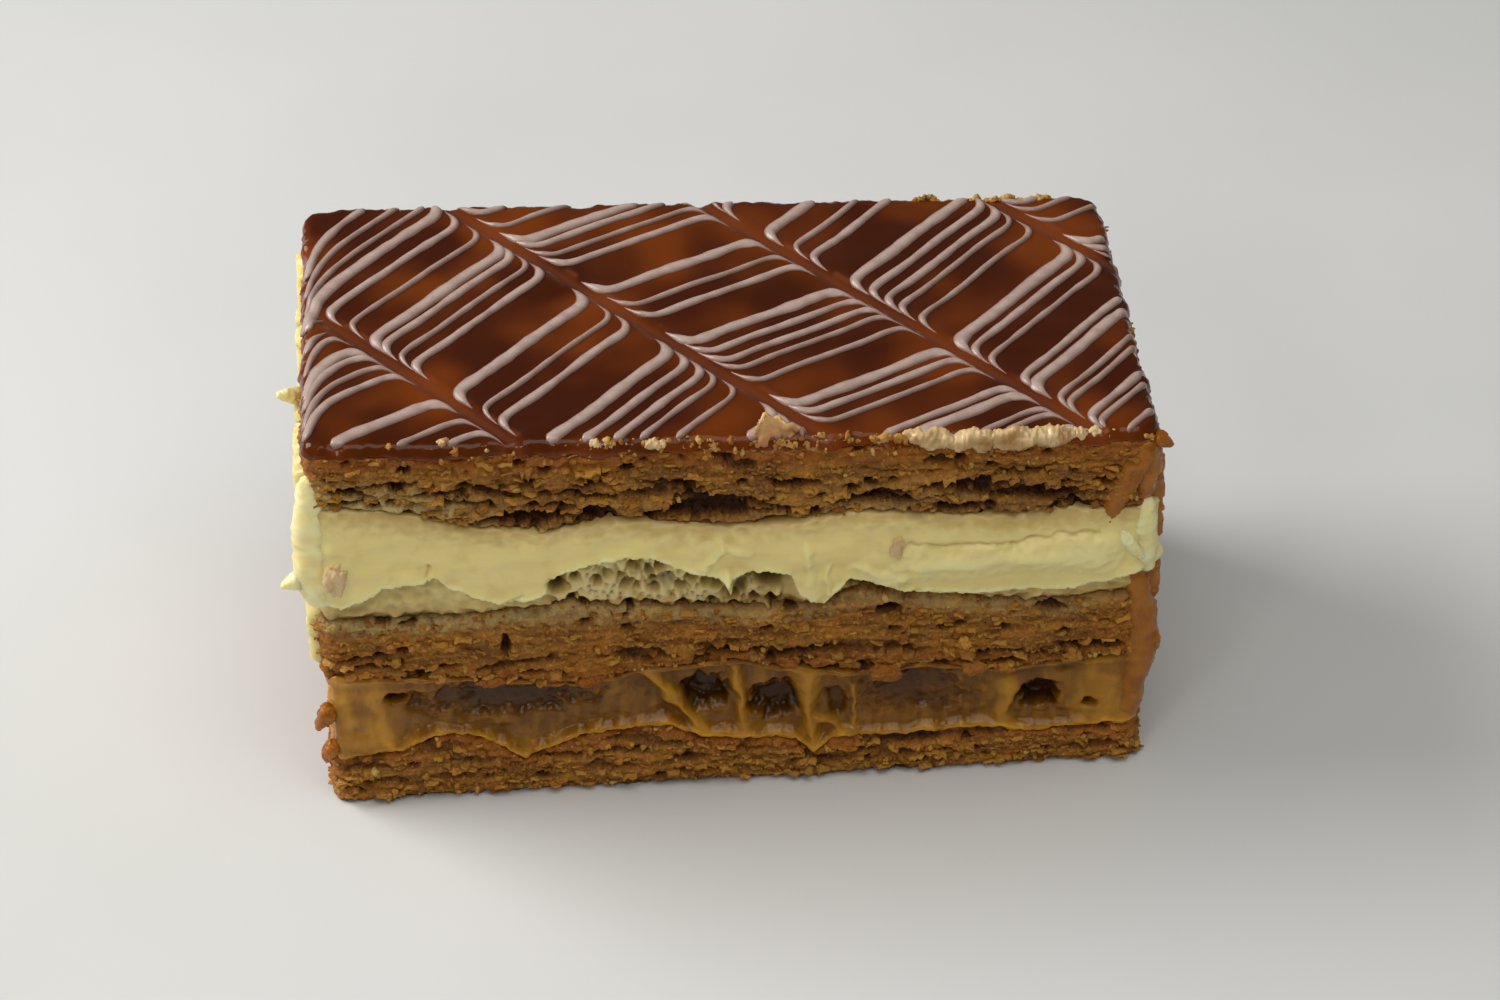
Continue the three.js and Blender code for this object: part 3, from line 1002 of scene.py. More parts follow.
@dataclass
class CreamFilling(Layer):
    """The vanilla cream: a smooth smeared slab whose torn lower edge overhangs spongy hollows."""

    lip: Points = ()
    sunk: Points = ()  # how far the cream lies in under the lip, along the front
    sponge: tuple[float, float] = (-22.0, 3.0)
    sponge_cell: float = 1.7
    loose_lip: float = 2.6  # height of the lip above the foot, away from the front
    undulation: float = 0.55
    undulation_size: Stretch = (11.0, 11.0, 5.0)
    swell: float = 0.4
    swell_size: Stretch = (5.0, 5.0, 3.0)
    rough_size: Stretch = (1.5, 1.5, 1.0)
    bulge: float = 0.55
    bubble_deep: float = 1.6
    fine_deep: float = 0.55
    hollows: Sequence[Hollow] = ()
    lumps: Sequence[Strand] = ()

    def relief(self, at: Surface) -> tuple[Array, dict[str, Array]]:
        """Smears, the torn lip and what lies under it.

        Args:
            at: The side's places.

        Returns:
            How far it stands out, and the marks depth, stain and crest; depth is painted shade in the
            hollows, stain a brown film along the seams with painted shade under the lip, and crest a painted
            highlight along the lip, the sponge's ridges and the lumps.
        """
        s = self.seed
        x = at.xy[:, 0]
        broad = Noise.fractal(at.spots(self.undulation_size), s, 3)
        smear = Noise.smooth(at.spots((14, 14, 1.3)), s + 1)
        smear = smear + 0.5 * Noise.smooth(at.spots((6, 6, 0.6)), s + 2)
        rough = Noise.fractal(at.spots(self.rough_size), s + 3)
        flat = np.column_stack([at.xy, np.zeros(len(x))])
        ragged = 0.35 * Noise.fractal(flat / 1.6, s + 4)
        loose_lip = self.base.level + self.loose_lip + 1.5 * Noise.fractal(flat / 9, s + 5)
        lip = along(self.lip, x) * at.front + loose_lip * (1 - at.front) + ragged
        under = ease(0.12, -0.2, at.level - lip)
        fall = np.clip((lip - at.level) / 3.0, 0, 1)
        sunk = along(self.sunk, x) * at.front + 0.9 * (1 - at.front)
        bulge = self.bulge * (1 - (2 * at.t - 1) ** 2)
        swells = Noise.fractal(at.spots(self.swell_size), s + 9, 2)
        slab = 0.35 + bulge + self.undulation * broad + self.swell * swells + 0.03 * smear
        slab = slab + 0.35 * ease(1.6, 0.0, at.level - lip)
        wander = at.spots((self.sponge_cell,) * 3) + 0.35 * Noise.smooth(at.spots((2.5,) * 3), s + 8)[:, None]
        bubbles, _ = Noise.cells(wander, s + 6)
        fine, _ = Noise.cells(at.spots((0.75,) * 3), s + 7)
        start, end = self.sponge
        spongy = ease(start - 1, start + 1, x) * ease(end + 1, end - 1, x) * at.front
        pits = self.bubble_deep * ease(0.6, 0.2, bubbles) + self.fine_deep * ease(0.5, 0.2, fine)
        pitted = spongy * (0.35 - pits)
        torn = 0.2 - sunk * (1 - 0.45 * fall) + 0.25 * rough + pitted
        out = slab * (1 - under) + torn * under
        out = out - deepest(self.hollows, at, rough)
        for lump in self.lumps:
            out = out + lump.rise * lump.share(at, rough)
        out = out - 0.5 * ease(0.7, 0.0, at.edge + 0.3 * rough)
        # Painted shade: the cream is painted darker the further it sinks in.
        depth = ease(0.1, 3.0, 0.1 - out)
        near = ease(2.4, 0.0, at.edge + 0.9 * rough + 0.6 * broad)
        # The stain is partly real, a brown film near the seams, and partly painted shade under the torn lip
        # that is weaker towards the left end.
        under_lip_shade = 0.12 + 0.3 * ease(-26.0, -22.0, x)
        stain_and_shade = 0.55 * near + under_lip_shade * under * ease(0.0, 1.0, fall)
        # Painted highlight along the lip's crest, on the sponge's ridges and on the raised lumps.
        pale_tone_and_highlight = ease(0.7, 0.1, np.abs(at.level - lip - 0.25)) * ease(-0.2, 0.5, rough + 0.3)
        pale_tone_and_highlight = np.maximum(pale_tone_and_highlight, spongy * under * ease(0.5, 0.8, bubbles + 0.2 * fine))
        for lump in self.lumps:
            pale_tone_and_highlight = np.maximum(pale_tone_and_highlight, np.clip(0.6 * lump.rise, 0, 0.7) * lump.share(at, rough))
        return out, {"depth": depth, "stain_and_shade": np.clip(stain_and_shade, 0, 1), "pale_tone_and_highlight": 0.7 * pale_tone_and_highlight}


@dataclass
class CaramelFilling(Layer):
    """The caramel: sunk between the sheets in a glossy hollow, with strands, bubbles and a dripping lip."""

    sunk: float = 1.5
    swell: float = 0.5
    swell_size: Stretch = (10.0, 10.0, 5.0)
    drawn_size: Stretch = (2.2, 2.2, 7.0)
    rough_size: Stretch = (2.0, 2.0, 1.4)
    strands: Sequence[Strand] = ()
    hollows: Sequence[Hollow] = ()

    def relief(self, at: Surface) -> tuple[Array, dict[str, Array]]:
        """The sunken meniscus with its strands and bubbles.

        Args:
            at: The side's places.

        Returns:
            How far it stands out, and the marks depth and thin; depth is painted shade in the hollows and
            voids.
        """
        s = self.seed
        broad = Noise.fractal(at.spots(self.swell_size), s, 2)
        drawn = Noise.smooth(at.spots(self.drawn_size), s + 1)
        rough = Noise.fractal(at.spots(self.rough_size), s + 2)
        meniscus = ease(0.0, 0.16, at.t + 0.06 * rough) * ease(1.0, 0.86, at.t)
        ends = ease(39, 46, np.abs(at.xy[:, 0])) * at.front
        sunk = self.sunk * meniscus * (1 - 0.75 * ends)
        out = 0.1 - sunk + self.swell * broad + 0.18 * drawn + 0.2 * rough - deepest(self.hollows, at, rough)
        share = np.zeros(len(at.t))
        for strand in self.strands:
            here = strand.share(at, 0.5 * rough)
            out = np.maximum(out, out * (1 - here) + (strand.rise - 0.6) * here)
            share = np.maximum(share, here)
        lip = ease(0.1, 0.0, at.t + 0.05 * rough)
        out = out + 0.3 * lip * ease(-0.3, 0.4, rough + 0.3) - 0.6 * ease(0.6, 0.0, at.edge)
        thin = np.clip(0.8 * lip + 0.4 * share + 0.4 * ends * ease(0.2, 0.6, broad + 0.5), 0, 1)
        # Painted shade: depth paints the caramel darker the further it sinks in.
        return out, {"depth": ease(0.6, 3.4, 0.3 - out), "thin": thin}


@dataclass(frozen=True)
class Feathering:
    """Where the icing lines lie on the glaze: distances across and along the slanting drag marks."""

    angle: float = math.radians(-49.8)
    spines: tuple[float, ...] = (-63.0, -35.8, -8.3, 15.7, 43.7, 71.0)
    pull: float = 1.6
    droop: float = 9.0
    droop_width: float = 1.25

    def across(self, xy: Array) -> Array:
        """Distance of each place across the drag marks."""
        return xy @ np.array([-math.sin(self.angle), math.cos(self.angle)])

    def from_spine(self, xy: Array) -> Array:
        """Distance of each place from the nearest drag mark."""
        return np.abs(self.across(xy)[:, None] - np.array(self.spines)).min(axis=1)

    def place(self, across: Array, along_spines: Array) -> Array:
        """Turns distances across and along the drag marks into places on the slice."""
        cos, sin = math.cos(self.angle), math.sin(self.angle)
        x = -across * sin + along_spines * cos
        y = across * cos + along_spines * sin
        sag = self.droop * np.exp(-(x + FORM.length / 2) / self.droop_width)
        return np.column_stack([x, y - np.minimum(sag, self.droop)])

    def way(self, spine: int) -> int:
        """Which way a drag mark was pulled: 1 towards the front, -1 towards the back."""
        return 1 if spine % 2 else -1


@dataclass
class GlazeCoat:
    """The poured glaze: a glossy top with rounded edges, drag marks and an uneven skirt that runs over."""

    node: str = "glaze"
    name: str = "glaze_coat"
    slot: str = "glaze"
    steps_x: int = 320
    steps_y: int = 160
    rounding: float = 1.3
    base: float = 48.9
    skirt_rows: int = 9
    skirt: Points = (
        (-50, 0.9), (-42, 0.6), (-36, 1.3), (-20, 1.6), (-10, 1.0), (-4, 0.4), (4, 0.8), (8, 0.5),
        (20, 0.2), (38, 0.2),
        (43, 0.9), (50, 1.4),
    )  # how far the glaze runs down the front
    skirt_elsewhere: float = 0.8
    swell: float = 0.22
    swell_size: float = 13.0
    drag_deep: float = 0.3
    drag_half: float = 0.9
    shoulder: float = 0.12  # rise of the glaze beside a drag mark
    shoulder_at: float = 1.6
    shoulder_half: float = 0.6
    seed: int = 61
    feathering: Feathering = Feathering()

    def surface(self, xy: Array) -> Array:
        """Height of the glaze's top.

        Args:
            xy: Places on the slice.

        Returns:
            Heights above the underside, in millimetres.
        """
        inside = np.clip(FORM.inside(xy), 0, self.rounding)
        drop = self.rounding - np.sqrt(self.rounding**2 - (self.rounding - inside) ** 2)
        flat = np.column_stack([xy, np.zeros(len(xy))])
        swell = self.swell * Noise.fractal(flat / self.swell_size, self.seed, 2)
        swell = swell + 0.04 * Noise.smooth(flat / 2.5, self.seed + 1)
        off = self.feathering.from_spine(xy)
        beside = (off - self.shoulder_at) / self.shoulder_half
        drag = self.shoulder * np.exp(-(beside**2)) - self.drag_deep * np.exp(-((off / self.drag_half) ** 2))
        return (FORM.height - drop + swell + drag) * FORM.lean(xy[:, 0])

    def sheet(self) -> bpy.types.Object:
        """Models a grid whose border is drawn down in rows and closed underneath, one unit a row."""
        bpy.ops.object.select_all(action="DESELECT")
        bpy.ops.mesh.primitive_grid_add(x_subdivisions=self.steps_x, y_subdivisions=self.steps_y, size=2)
        piece = just_added(self.name)
        ends = places(piece.data)[edge_ends(piece.data)]
        on_border = (np.abs(ends[:, :, :2]) > 1 - 1e-5).all(axis=1).any(axis=1)
        choose(piece, Pick.EDGES, on_border)
        with edit_mode(piece, Pick.EDGES):
            for _ in range(self.skirt_rows):
                bpy.ops.mesh.extrude_edges_move(TRANSFORM_OT_translate={"value": (0, 0, -1)})
            bpy.ops.mesh.edge_face_add()
            bpy.ops.mesh.select_all(action="SELECT")
            bpy.ops.mesh.normals_make_consistent(inside=False)
        return piece

    def spread(self, unit: Array) -> Array:
        """Maps the square grid onto the slice's rounded outline."""
        half = np.array([FORM.length, FORM.depth]) / 2
        xy = unit * half
        over = np.maximum(np.abs(xy) - FORM.core(), 0) / FORM.corner
        bent = over * np.sqrt(1 - over[:, ::-1] ** 2 / 2)
        return np.sign(xy) * (np.minimum(np.abs(xy), FORM.core()) + bent * FORM.corner)

    def build(self, material: bpy.types.Material) -> None:
        """Models the coat, shapes its top and skirt, and dresses it.

        Args:
            material: The glaze's finish.
        """
        piece = self.sheet()
        points = places(piece.data)
        row = -points[:, 2]
        xy = self.spread(points[:, :2])
        outward = FORM.outward(xy)
        spots = np.column_stack([xy, np.zeros(len(xy))])
        inside = FORM.inside(xy)
        edge = ease(2.2, 0.0, inside)
        sway = 0.5 * Noise.fractal(spots / 4, self.seed + 2)
        sway = sway + 0.22 * Noise.fractal(spots / 1.2, self.seed + 3)
        front = ease(0.55, 0.9, -outward[:, 1])
        length = along(self.skirt, xy[:, 0]) * front + self.skirt_elsewhere * (1 - front)
        length = length * (1 + 0.9 * Noise.fractal(spots / 5, self.seed + 4))
        length = length + 0.35 * Noise.fractal(spots / 1.4, self.seed + 5)
        share = row / (self.skirt_rows - 1)
        hung = np.clip(share, 0, 1)
        tucked = row > self.skirt_rows - 0.5
        chipped = edge * (0.35 * Noise.fractal(spots / 2.2, self.seed + 6) - 0.1)
        height = self.surface(xy) + chipped - hung * np.clip(length, 0.1, 3.2)
        height = np.where(tucked, self.base * FORM.lean(xy[:, 0]), height)
        out = sway * edge + 0.1 * edge + 0.1 * np.sin(math.pi * hung) - 0.9 * hung**2
        out = np.where(tucked, -2.0, out)
        points[:, :2] = xy + outward * out[:, None]
        points[:, 2] = height
        thin = np.clip(0.2 * ease(1.4, 0.0, inside) + 0.75 * hung, 0, 1)
        off = self.feathering.from_spine(xy)
        streaky = ease(-0.2, 0.5, Noise.fractal(spots / 3, self.seed + 7))
        spine = 0.5 * np.exp(-((off / 0.7) ** 2)) + 0.7 * streaky * np.exp(-(((off - 1.25) / 0.35) ** 2))
        settle(piece, points, {"thin": thin, "spine": spine})
        finish_piece(piece, material, [self.node])


@dataclass
class FeatherIcing:
    """Lines of white icing piped across the glaze and dragged into hooks along the drag marks."""

    glaze: GlazeCoat
    name: str = "feather_icing"
    slot: str = "white_icing"
    wide: float = 1.9
    middling: float = 1.35
    narrow: float = 1.0
    step: float = 0.4
    rise: float = 0.34
    sink: float = 0.25
    hook: float = 1.2  # distance of a line's hooked end from the drag mark
    tail: float = 3.9
    bend: float = 1.8
    margin: float = 0.3
    full_half: float = 0.45  # half width from which a line has its full height
    white_half: float = 0.7  # half width from which a line's crown has its full colour
    uneven: float = 0.25
    shortest: int = 6  # steps that a line needs to show
    seed: int = 80
    profile: Points = (
        (-1.0, -0.7), (-0.86, 0.25), (-0.5, 0.82), (0.0, 1.0), (0.5, 0.82), (0.86, 0.25), (1.0, -0.7),
    )

    def lines(self) -> list[tuple[float, float]]:
        """Place of each piped line along the drag marks, and its width."""
        wide, middling, narrow = self.wide, self.middling, self.narrow
        return [
            (-45.7, middling), (-42.7, narrow), (-40.1, narrow), (-37.7, wide), (-34.2, middling),
            (-30.2, narrow), (-25.9, wide), (-24.1, middling), (-21.2, narrow), (-18.6, middling),
            (-10.9, wide), (-6.4, narrow), (-3.3, middling), (3.8, wide), (6.8, middling),
            (9.4, middling), (11.7, narrow), (15.0, narrow), (21.4, wide), (23.7, middling),
            (26.4, narrow), (31.7, middling), (33.6, wide), (37.4, narrow), (38.9, narrow),
            (42.3, middling), (43.8, narrow), (47.4, narrow),
        ]

    def path(self, line: float, band: int) -> tuple[Array, Array]:
        """One line's way between two drag marks.

        Args:
            line: The line's place along the drag marks.
            band: Number of the drag mark on its left.

        Returns:
            Places on the slice in even steps, and the share of the full width at each.
        """
        f = self.glaze.feathering
        left, right = f.spines[band], f.spines[band + 1]
        ways = f.way(band), f.way(band + 1)
        run = np.linspace(left + self.hook, right - self.hook, 60)
        swing = f.pull * ways[0] * np.cos(math.pi * (run - left) / (right - left))
        reach = np.linspace(1, 0.08, 8) * self.tail
        inset = 0.25 * reach / self.tail
        across = np.concatenate([left + self.hook - inset, run, right - self.hook + inset[::-1]])
        pulled = np.concatenate([swing[0] + ways[0] * reach, swing, swing[-1] + ways[1] * reach[::-1]])
        places_on_top = f.place(across, line + pulled)
        gaps = np.linalg.norm(np.diff(places_on_top, axis=0), axis=1)
        length = np.concatenate([[0], np.cumsum(gaps)])
        even = np.arange(0, length[-1], self.step)
        way = np.column_stack([np.interp(even, length, places_on_top[:, i]) for i in (0, 1)])
        reach = round(2.5 * self.bend / self.step)
        spread = np.arange(-reach, reach + 1) * self.step
        kernel = np.exp(-((spread / self.bend) ** 2) / 2)
        padded = np.pad(way, ((reach, reach), (0, 0)), mode="reflect", reflect_type="odd")
        way = np.column_stack([np.convolve(padded[:, i], kernel / kernel.sum(), "valid") for i in (0, 1)])
        from_end = np.minimum(even, length[-1] - even)
        return way, 0.2 + 0.8 * ease(self.tail * 0.1, self.tail * 1.1, from_end)

    def ribbon(self, run: Array, half: Array, first: int) -> tuple[Array, list, Array]:
        """Sweeps the low rounded profile along one stretch of a line.

        Args:
            run: Places along the stretch.
            half: Half the ribbon's width at each place.
            first: Number of the ribbon's first vertex.

        Returns:
            The ribbon's points, its faces, and the share of the crown's colour at each point.
        """
        side, top = np.array(self.profile).T
        ring = len(self.profile)
        ahead = np.gradient(run, axis=0)
        across = np.column_stack([-ahead[:, 1], ahead[:, 0]])
        across = across / np.linalg.norm(ahead, axis=1)[:, None]
        xy = run[:, None, :] + across[:, None, :] * (half[:, None] * side)[:, :, None]
        flat = xy.reshape(-1, 2)
        lift = np.where(top > 0, top * self.rise, top * self.sink)
        lift = lift * np.minimum(1, half / self.full_half)[:, None]
        points = np.column_stack([flat, self.glaze.surface(flat) + lift.ravel()])
        crown = np.clip(top, 0, 1) * np.clip(half / self.white_half, 0.25, 1)[:, None]
        faces = []
        for i in range(len(run) - 1):
            for k in range(ring):
                a, b = first + i * ring + k, first + i * ring + (k + 1) % ring
                faces.append((a, a + ring, b + ring, b))
        last = first + (len(run) - 1) * ring
        faces.append(tuple(range(first, first + ring)))
        faces.append(tuple(range(last + ring - 1, last - 1, -1)))
        return points, faces, crown.ravel()

    def build(self, material: bpy.types.Material) -> None:
        """Sweeps a ribbon along every line between two drag marks and joins them in one mesh.

        Args:
            material: The icing's finish.
        """
        points, faces, crowns = [], [], []
        count = 0
        for number, (line, width) in enumerate(self.lines()):
            for band in range(len(self.glaze.feathering.spines) - 1):
                way, share = self.path(line, band)
                spots = np.column_stack([way / 4, np.full(len(way), number * 5.3 + band)])
                share = share * (1 + self.uneven * Noise.fractal(spots, self.seed, 2))
                kept = FORM.inside(way) > self.margin
                for part in np.split(np.arange(len(way)), np.flatnonzero(np.diff(kept)) + 1):
                    if len(part) < self.shortest or not kept[part[0]]:
                        continue
                    steps = np.arange(len(part))
                    half = share[part] * width / 2
                    half = half * np.minimum(1, 0.35 + np.minimum(steps, steps[::-1]) / 3)
                    swept, sides, crown = self.ribbon(way[part], half, count)
                    points.append(swept)
                    faces += sides
                    crowns.append(crown)
                    count += len(swept)
        piece = from_arrays(self.name, np.vstack(points), faces, {"crown": np.concatenate(crowns)})
        face_outward(piece)
        finish_piece(piece, material)


@dataclass
class EndSmear:
    """Filling wiped over a cut end by the knife: a ragged skin that comes out of the end and sinks back."""

    node: str
    name: str
    slot: str
    side: Side
    low: float
    high: float
    thick: float
    seed: int
    cell: float = 0.45
    wrap: float = 1.0
    sunk: float = 1.6  # how far the bare parts of the skin lie inside the end
    skin: float = 0.8

    def build(self, material: bpy.types.Material) -> None:
        """Models the skin as a solid sheet and dresses it.

        Args:
            material: The smear's finish.
        """
        bpy.ops.object.select_all(action="DESELECT")
        wide = FORM.depth - 2 * self.wrap
        tall = self.high - self.low
        bpy.ops.mesh.primitive_grid_add(
            x_subdivisions=round(wide / self.cell), y_subdivisions=round(tall / self.cell), size=2
        )
        piece = just_added(self.name)
        points = places(piece.data)
        y = points[:, 0] * wide / 2
        level = self.low + (points[:, 1] + 1) / 2 * tall
        face = self.side.value[0]
        spots = np.column_stack([y, level, np.zeros(len(y))])
        smear = Noise.fractal(spots / (9, 14, 1), self.seed)
        smear = smear + 0.5 * Noise.fractal(spots / (2.5, 5, 1), self.seed + 1)
        rough = Noise.fractal(spots / 1.2, self.seed + 2)
        border = np.minimum(wide / 2 - np.abs(y), np.minimum(level - self.low, self.high - level))
        cover = ease(-0.35, 0.25, smear + 0.15 * rough) * ease(0.0, 1.6, border + 0.5 * rough)
        out = -self.sunk + (self.sunk + self.thick) * cover + 0.25 * smear * cover + 0.08 * rough
        corner = np.maximum(np.abs(y) - FORM.core()[1], 0)
        back = FORM.corner - np.sqrt(np.maximum(FORM.corner**2 - corner**2, 0))
        x = face * (FORM.length / 2 + out - back)
        points = np.column_stack([x, y, level * FORM.lean(x)])
        piece.data.vertices.foreach_set("co", points.ravel())
        shell = piece.modifiers.new("skin", "SOLIDIFY")
        shell.thickness = self.skin
        shell.offset = -face
        bpy.ops.object.modifier_apply(modifier=shell.name)
        points = places(piece.data)
        face_outward(piece)
        twice = np.concatenate([cover, cover])
        # Painted shade: depth paints the skin's bare, sunk parts darker; stain makes them browner.
        marks = {"depth": 0.5 * (1 - twice), "thin": 0.6 * twice, "stain_and_shade": 0.6 * (1 - twice)}
        settle(piece, points, marks)
        finish_piece(piece, material, [self.node])


@dataclass
class LooseFlakes:
    """Thin broken leaves that stand out of the pastry's torn edges.

    Places are drawn by vertex number, and Blender doesn't number the sheets' vertices alike on every run.
    So single flakes can sit elsewhere on another run, on the same torn edges.
    """

    sheets: Sequence[PastrySheet]
    name: str = "pastry_flakes"
    slot: str = "puff_pastry"
    count: int = 1100
    seed: int = 7
    long: float = 1.6
    thick: float = 0.22
    across: int = 4
    deep: int = 3

    def corners(self) -> list[tuple[int, ...]]:
        """Vertex numbers of one flake's faces: its top and underside, then its rim.

        Returns:
            One row for each face.
        """
        cells = self.across * self.deep
        faces = []
        for i in range(self.across - 1):
            for k in range(self.deep - 1):
                a = i * self.deep + k
                b = a + self.deep
                faces.append((a, b, b + 1, a + 1))
                faces.append((a + cells, a + 1 + cells, b + 1 + cells, b + cells))
        rim = [i * self.deep for i in range(self.across)]
        rim += [(self.across - 1) * self.deep + k for k in range(1, self.deep)]
        rim += [i * self.deep + self.deep - 1 for i in range(self.across - 2, -1, -1)]
        rim += list(range(self.deep - 2, 0, -1))
        faces += [(b, a, a + cells, b + cells) for a, b in zip(rim, rim[1:] + rim[:1])]
        return faces

    def flake(self, root: Array, facing: Array, rng: np.random.Generator) -> Array:
        """Shapes one flake with a ragged edge.

        Args:
            root: Where it grows from the sheet's side.
            facing: The direction that the side faces.
            rng: Source of its random shape.

        Returns:
            The points of its top, then of its underside.
        """
        u, v = np.meshgrid(np.linspace(-1, 1, self.across), np.linspace(0, 1, self.deep), indexing="ij")
        out = np.array([*facing, 0.0])
        side = np.array([-out[1], out[0], 0.0])
        upright = np.array([0, 0, 1.0])
        wide = self.long * rng.uniform(0.4, 1.3)
        reach = wide * rng.uniform(0.5, 1.0)
        tilt = rng.normal(-0.05, 0.2)
        roll = rng.normal(0, 0.2)
        droop = rng.uniform(-0.3, 0.4)
        ragged = 1 + 0.16 * rng.normal(size=u.shape) * (v > 0)
        along_side = u * wide / 2 * (1 - 0.35 * v * rng.uniform(0, 1.2))
        outwards = (v * ragged - 0.6) * reach
        up = outwards * math.tan(tilt) + along_side * roll - droop * 0.3 * v**2 * reach
        up = up + 0.06 * rng.normal(size=u.shape)
        leaf = root + side * along_side[..., None] + out * outwards[..., None]
        top = (leaf + upright * up[..., None]).reshape(-1, 3) + upright * self.thick / 2
        return np.vstack([top, top - upright * self.thick])

    def build(self, material: bpy.types.Material) -> None:
        """Sets flakes into the sheets' sides and joins them in one mesh.

        Args:
            material: The pastry's finish.
        """
        rng = np.random.default_rng(self.seed)
        corners = self.corners()
        points, faces, tones = [], [], []
        for sheet in self.sheets:
            at = sheet.at
            torn = ease(-0.1, 0.3, at.t) * ease(1.1, 0.7, at.t)
            torn = torn + 0.6 * ease(sheet.gap_to, sheet.gap_from, at.t)
            weight = torn * (FORM.inside(at.xy) < 0.5) * (0.6 + 0.9 * at.front) * (at.level > 0.8)
            picks = rng.choice(len(weight), self.count // len(self.sheets), p=weight / weight.sum())
            for pick in picks:
                leaf = self.flake(sheet.points[pick], at.outward[pick], rng)
                faces += [tuple(k + len(points) * len(leaf) for k in face) for face in corners]
                points.append(leaf)
                tones.append(np.full(len(leaf), rng.uniform(0, 1)))
        tone = np.concatenate(tones)
        marks = {
            "depth": 0.45 * ease(0.75, 1.0, tone),
            "soak": 0.25 * ease(0.3, 0.0, tone),
            "pale_tone_and_highlight": 0.6 * tone,
        }
        piece = from_arrays(self.name, np.vstack(points), faces, marks)
        face_outward(piece)
        finish_piece(piece, material)


@dataclass(frozen=True)
class Stroke:
    """A dab or dribble: places along it as (x, y, level), and its half width at each."""

    path: Sequence[tuple[float, float, float]]
    half: Sequence[float]


@dataclass
class Dribbles:
    """Dabs and dribbles of one kind, drawn as thick strokes and worked into uneven skins."""

    name: str
    slot: str
    strokes: Sequence[Stroke]
    seed: int
    rough: float = 0.3
    lump: float = 1.8  # size of the unevenness
    mottle: float = 2.6  # size of the patches of colour
    steps: int = 8  # along each stretch of a stroke
    roundness: int = 4  # steps in a quarter of its girth
    marks: dict[str, float] = field(default_factory=dict)

    def draw(self, stroke: Stroke) -> bpy.types.Object:
        """Draws one stroke as a round curve and makes it a mesh.

        Args:
            stroke: Where it goes.

        Returns:
            The mesh object, still in millimetres.
        """
        bpy.ops.object.select_all(action="DESELECT")
        bpy.ops.curve.primitive_nurbs_path_add()
        drawn = bpy.context.object
        curve = drawn.data
        curve.splines.clear()
        line = curve.splines.new("NURBS")
        path = [stroke.path[0], *stroke.path, stroke.path[-1]]
        half = [0.05, *stroke.half, 0.05]
        line.points.add(len(path) - 1)
        for point, place, size in zip(line.points, path, half):
            point.co = (*place[:2], place[2] * float(FORM.lean(place[0])), 1.0)
            point.radius = size
        line.order_u = 4
        line.use_endpoint_u = True
        line.resolution_u = self.steps
        curve.bevel_depth = 1.0
        curve.bevel_resolution = self.roundness
        curve.use_fill_caps = True
        bpy.ops.object.convert(target="MESH")
        return bpy.context.object

    def build(self, material: bpy.types.Material) -> None:
        """Draws every stroke, joins them, roughens their skin and dresses them.

        Args:
            material: Their finish.
        """
        drawn = [self.draw(stroke) for stroke in self.strokes]
        bpy.ops.object.select_all(action="DESELECT")
        for each in drawn:
            each.select_set(True)
        bpy.context.view_layer.objects.active = drawn[0]
        bpy.ops.object.join()
        piece = just_added(self.name)
        with edit_mode(piece, Pick.VERTS):
            bpy.ops.mesh.select_all(action="SELECT")
            bpy.ops.mesh.remove_doubles(threshold=0.02)
            bpy.ops.mesh.normals_make_consistent(inside=False)
            bpy.ops.mesh.subdivide(number_cuts=1, smoothness=0.3)
        points = places(piece.data)
        normals = np.array([v.normal for v in piece.data.vertices])
        push = Noise.fractal(points / self.lump, self.seed)
        push = push + 0.4 * Noise.fractal(points / self.lump * 4, self.seed + 1)
        points += normals * (self.rough * push)[:, None]
        mottle = np.clip(1 + 1.4 * Noise.fractal(points / self.mottle, self.seed + 9), 0, 2)
        settle(piece, points, {name: np.clip(value * mottle, 0, 1) for name, value in self.marks.items()})
        finish_piece(piece, material)


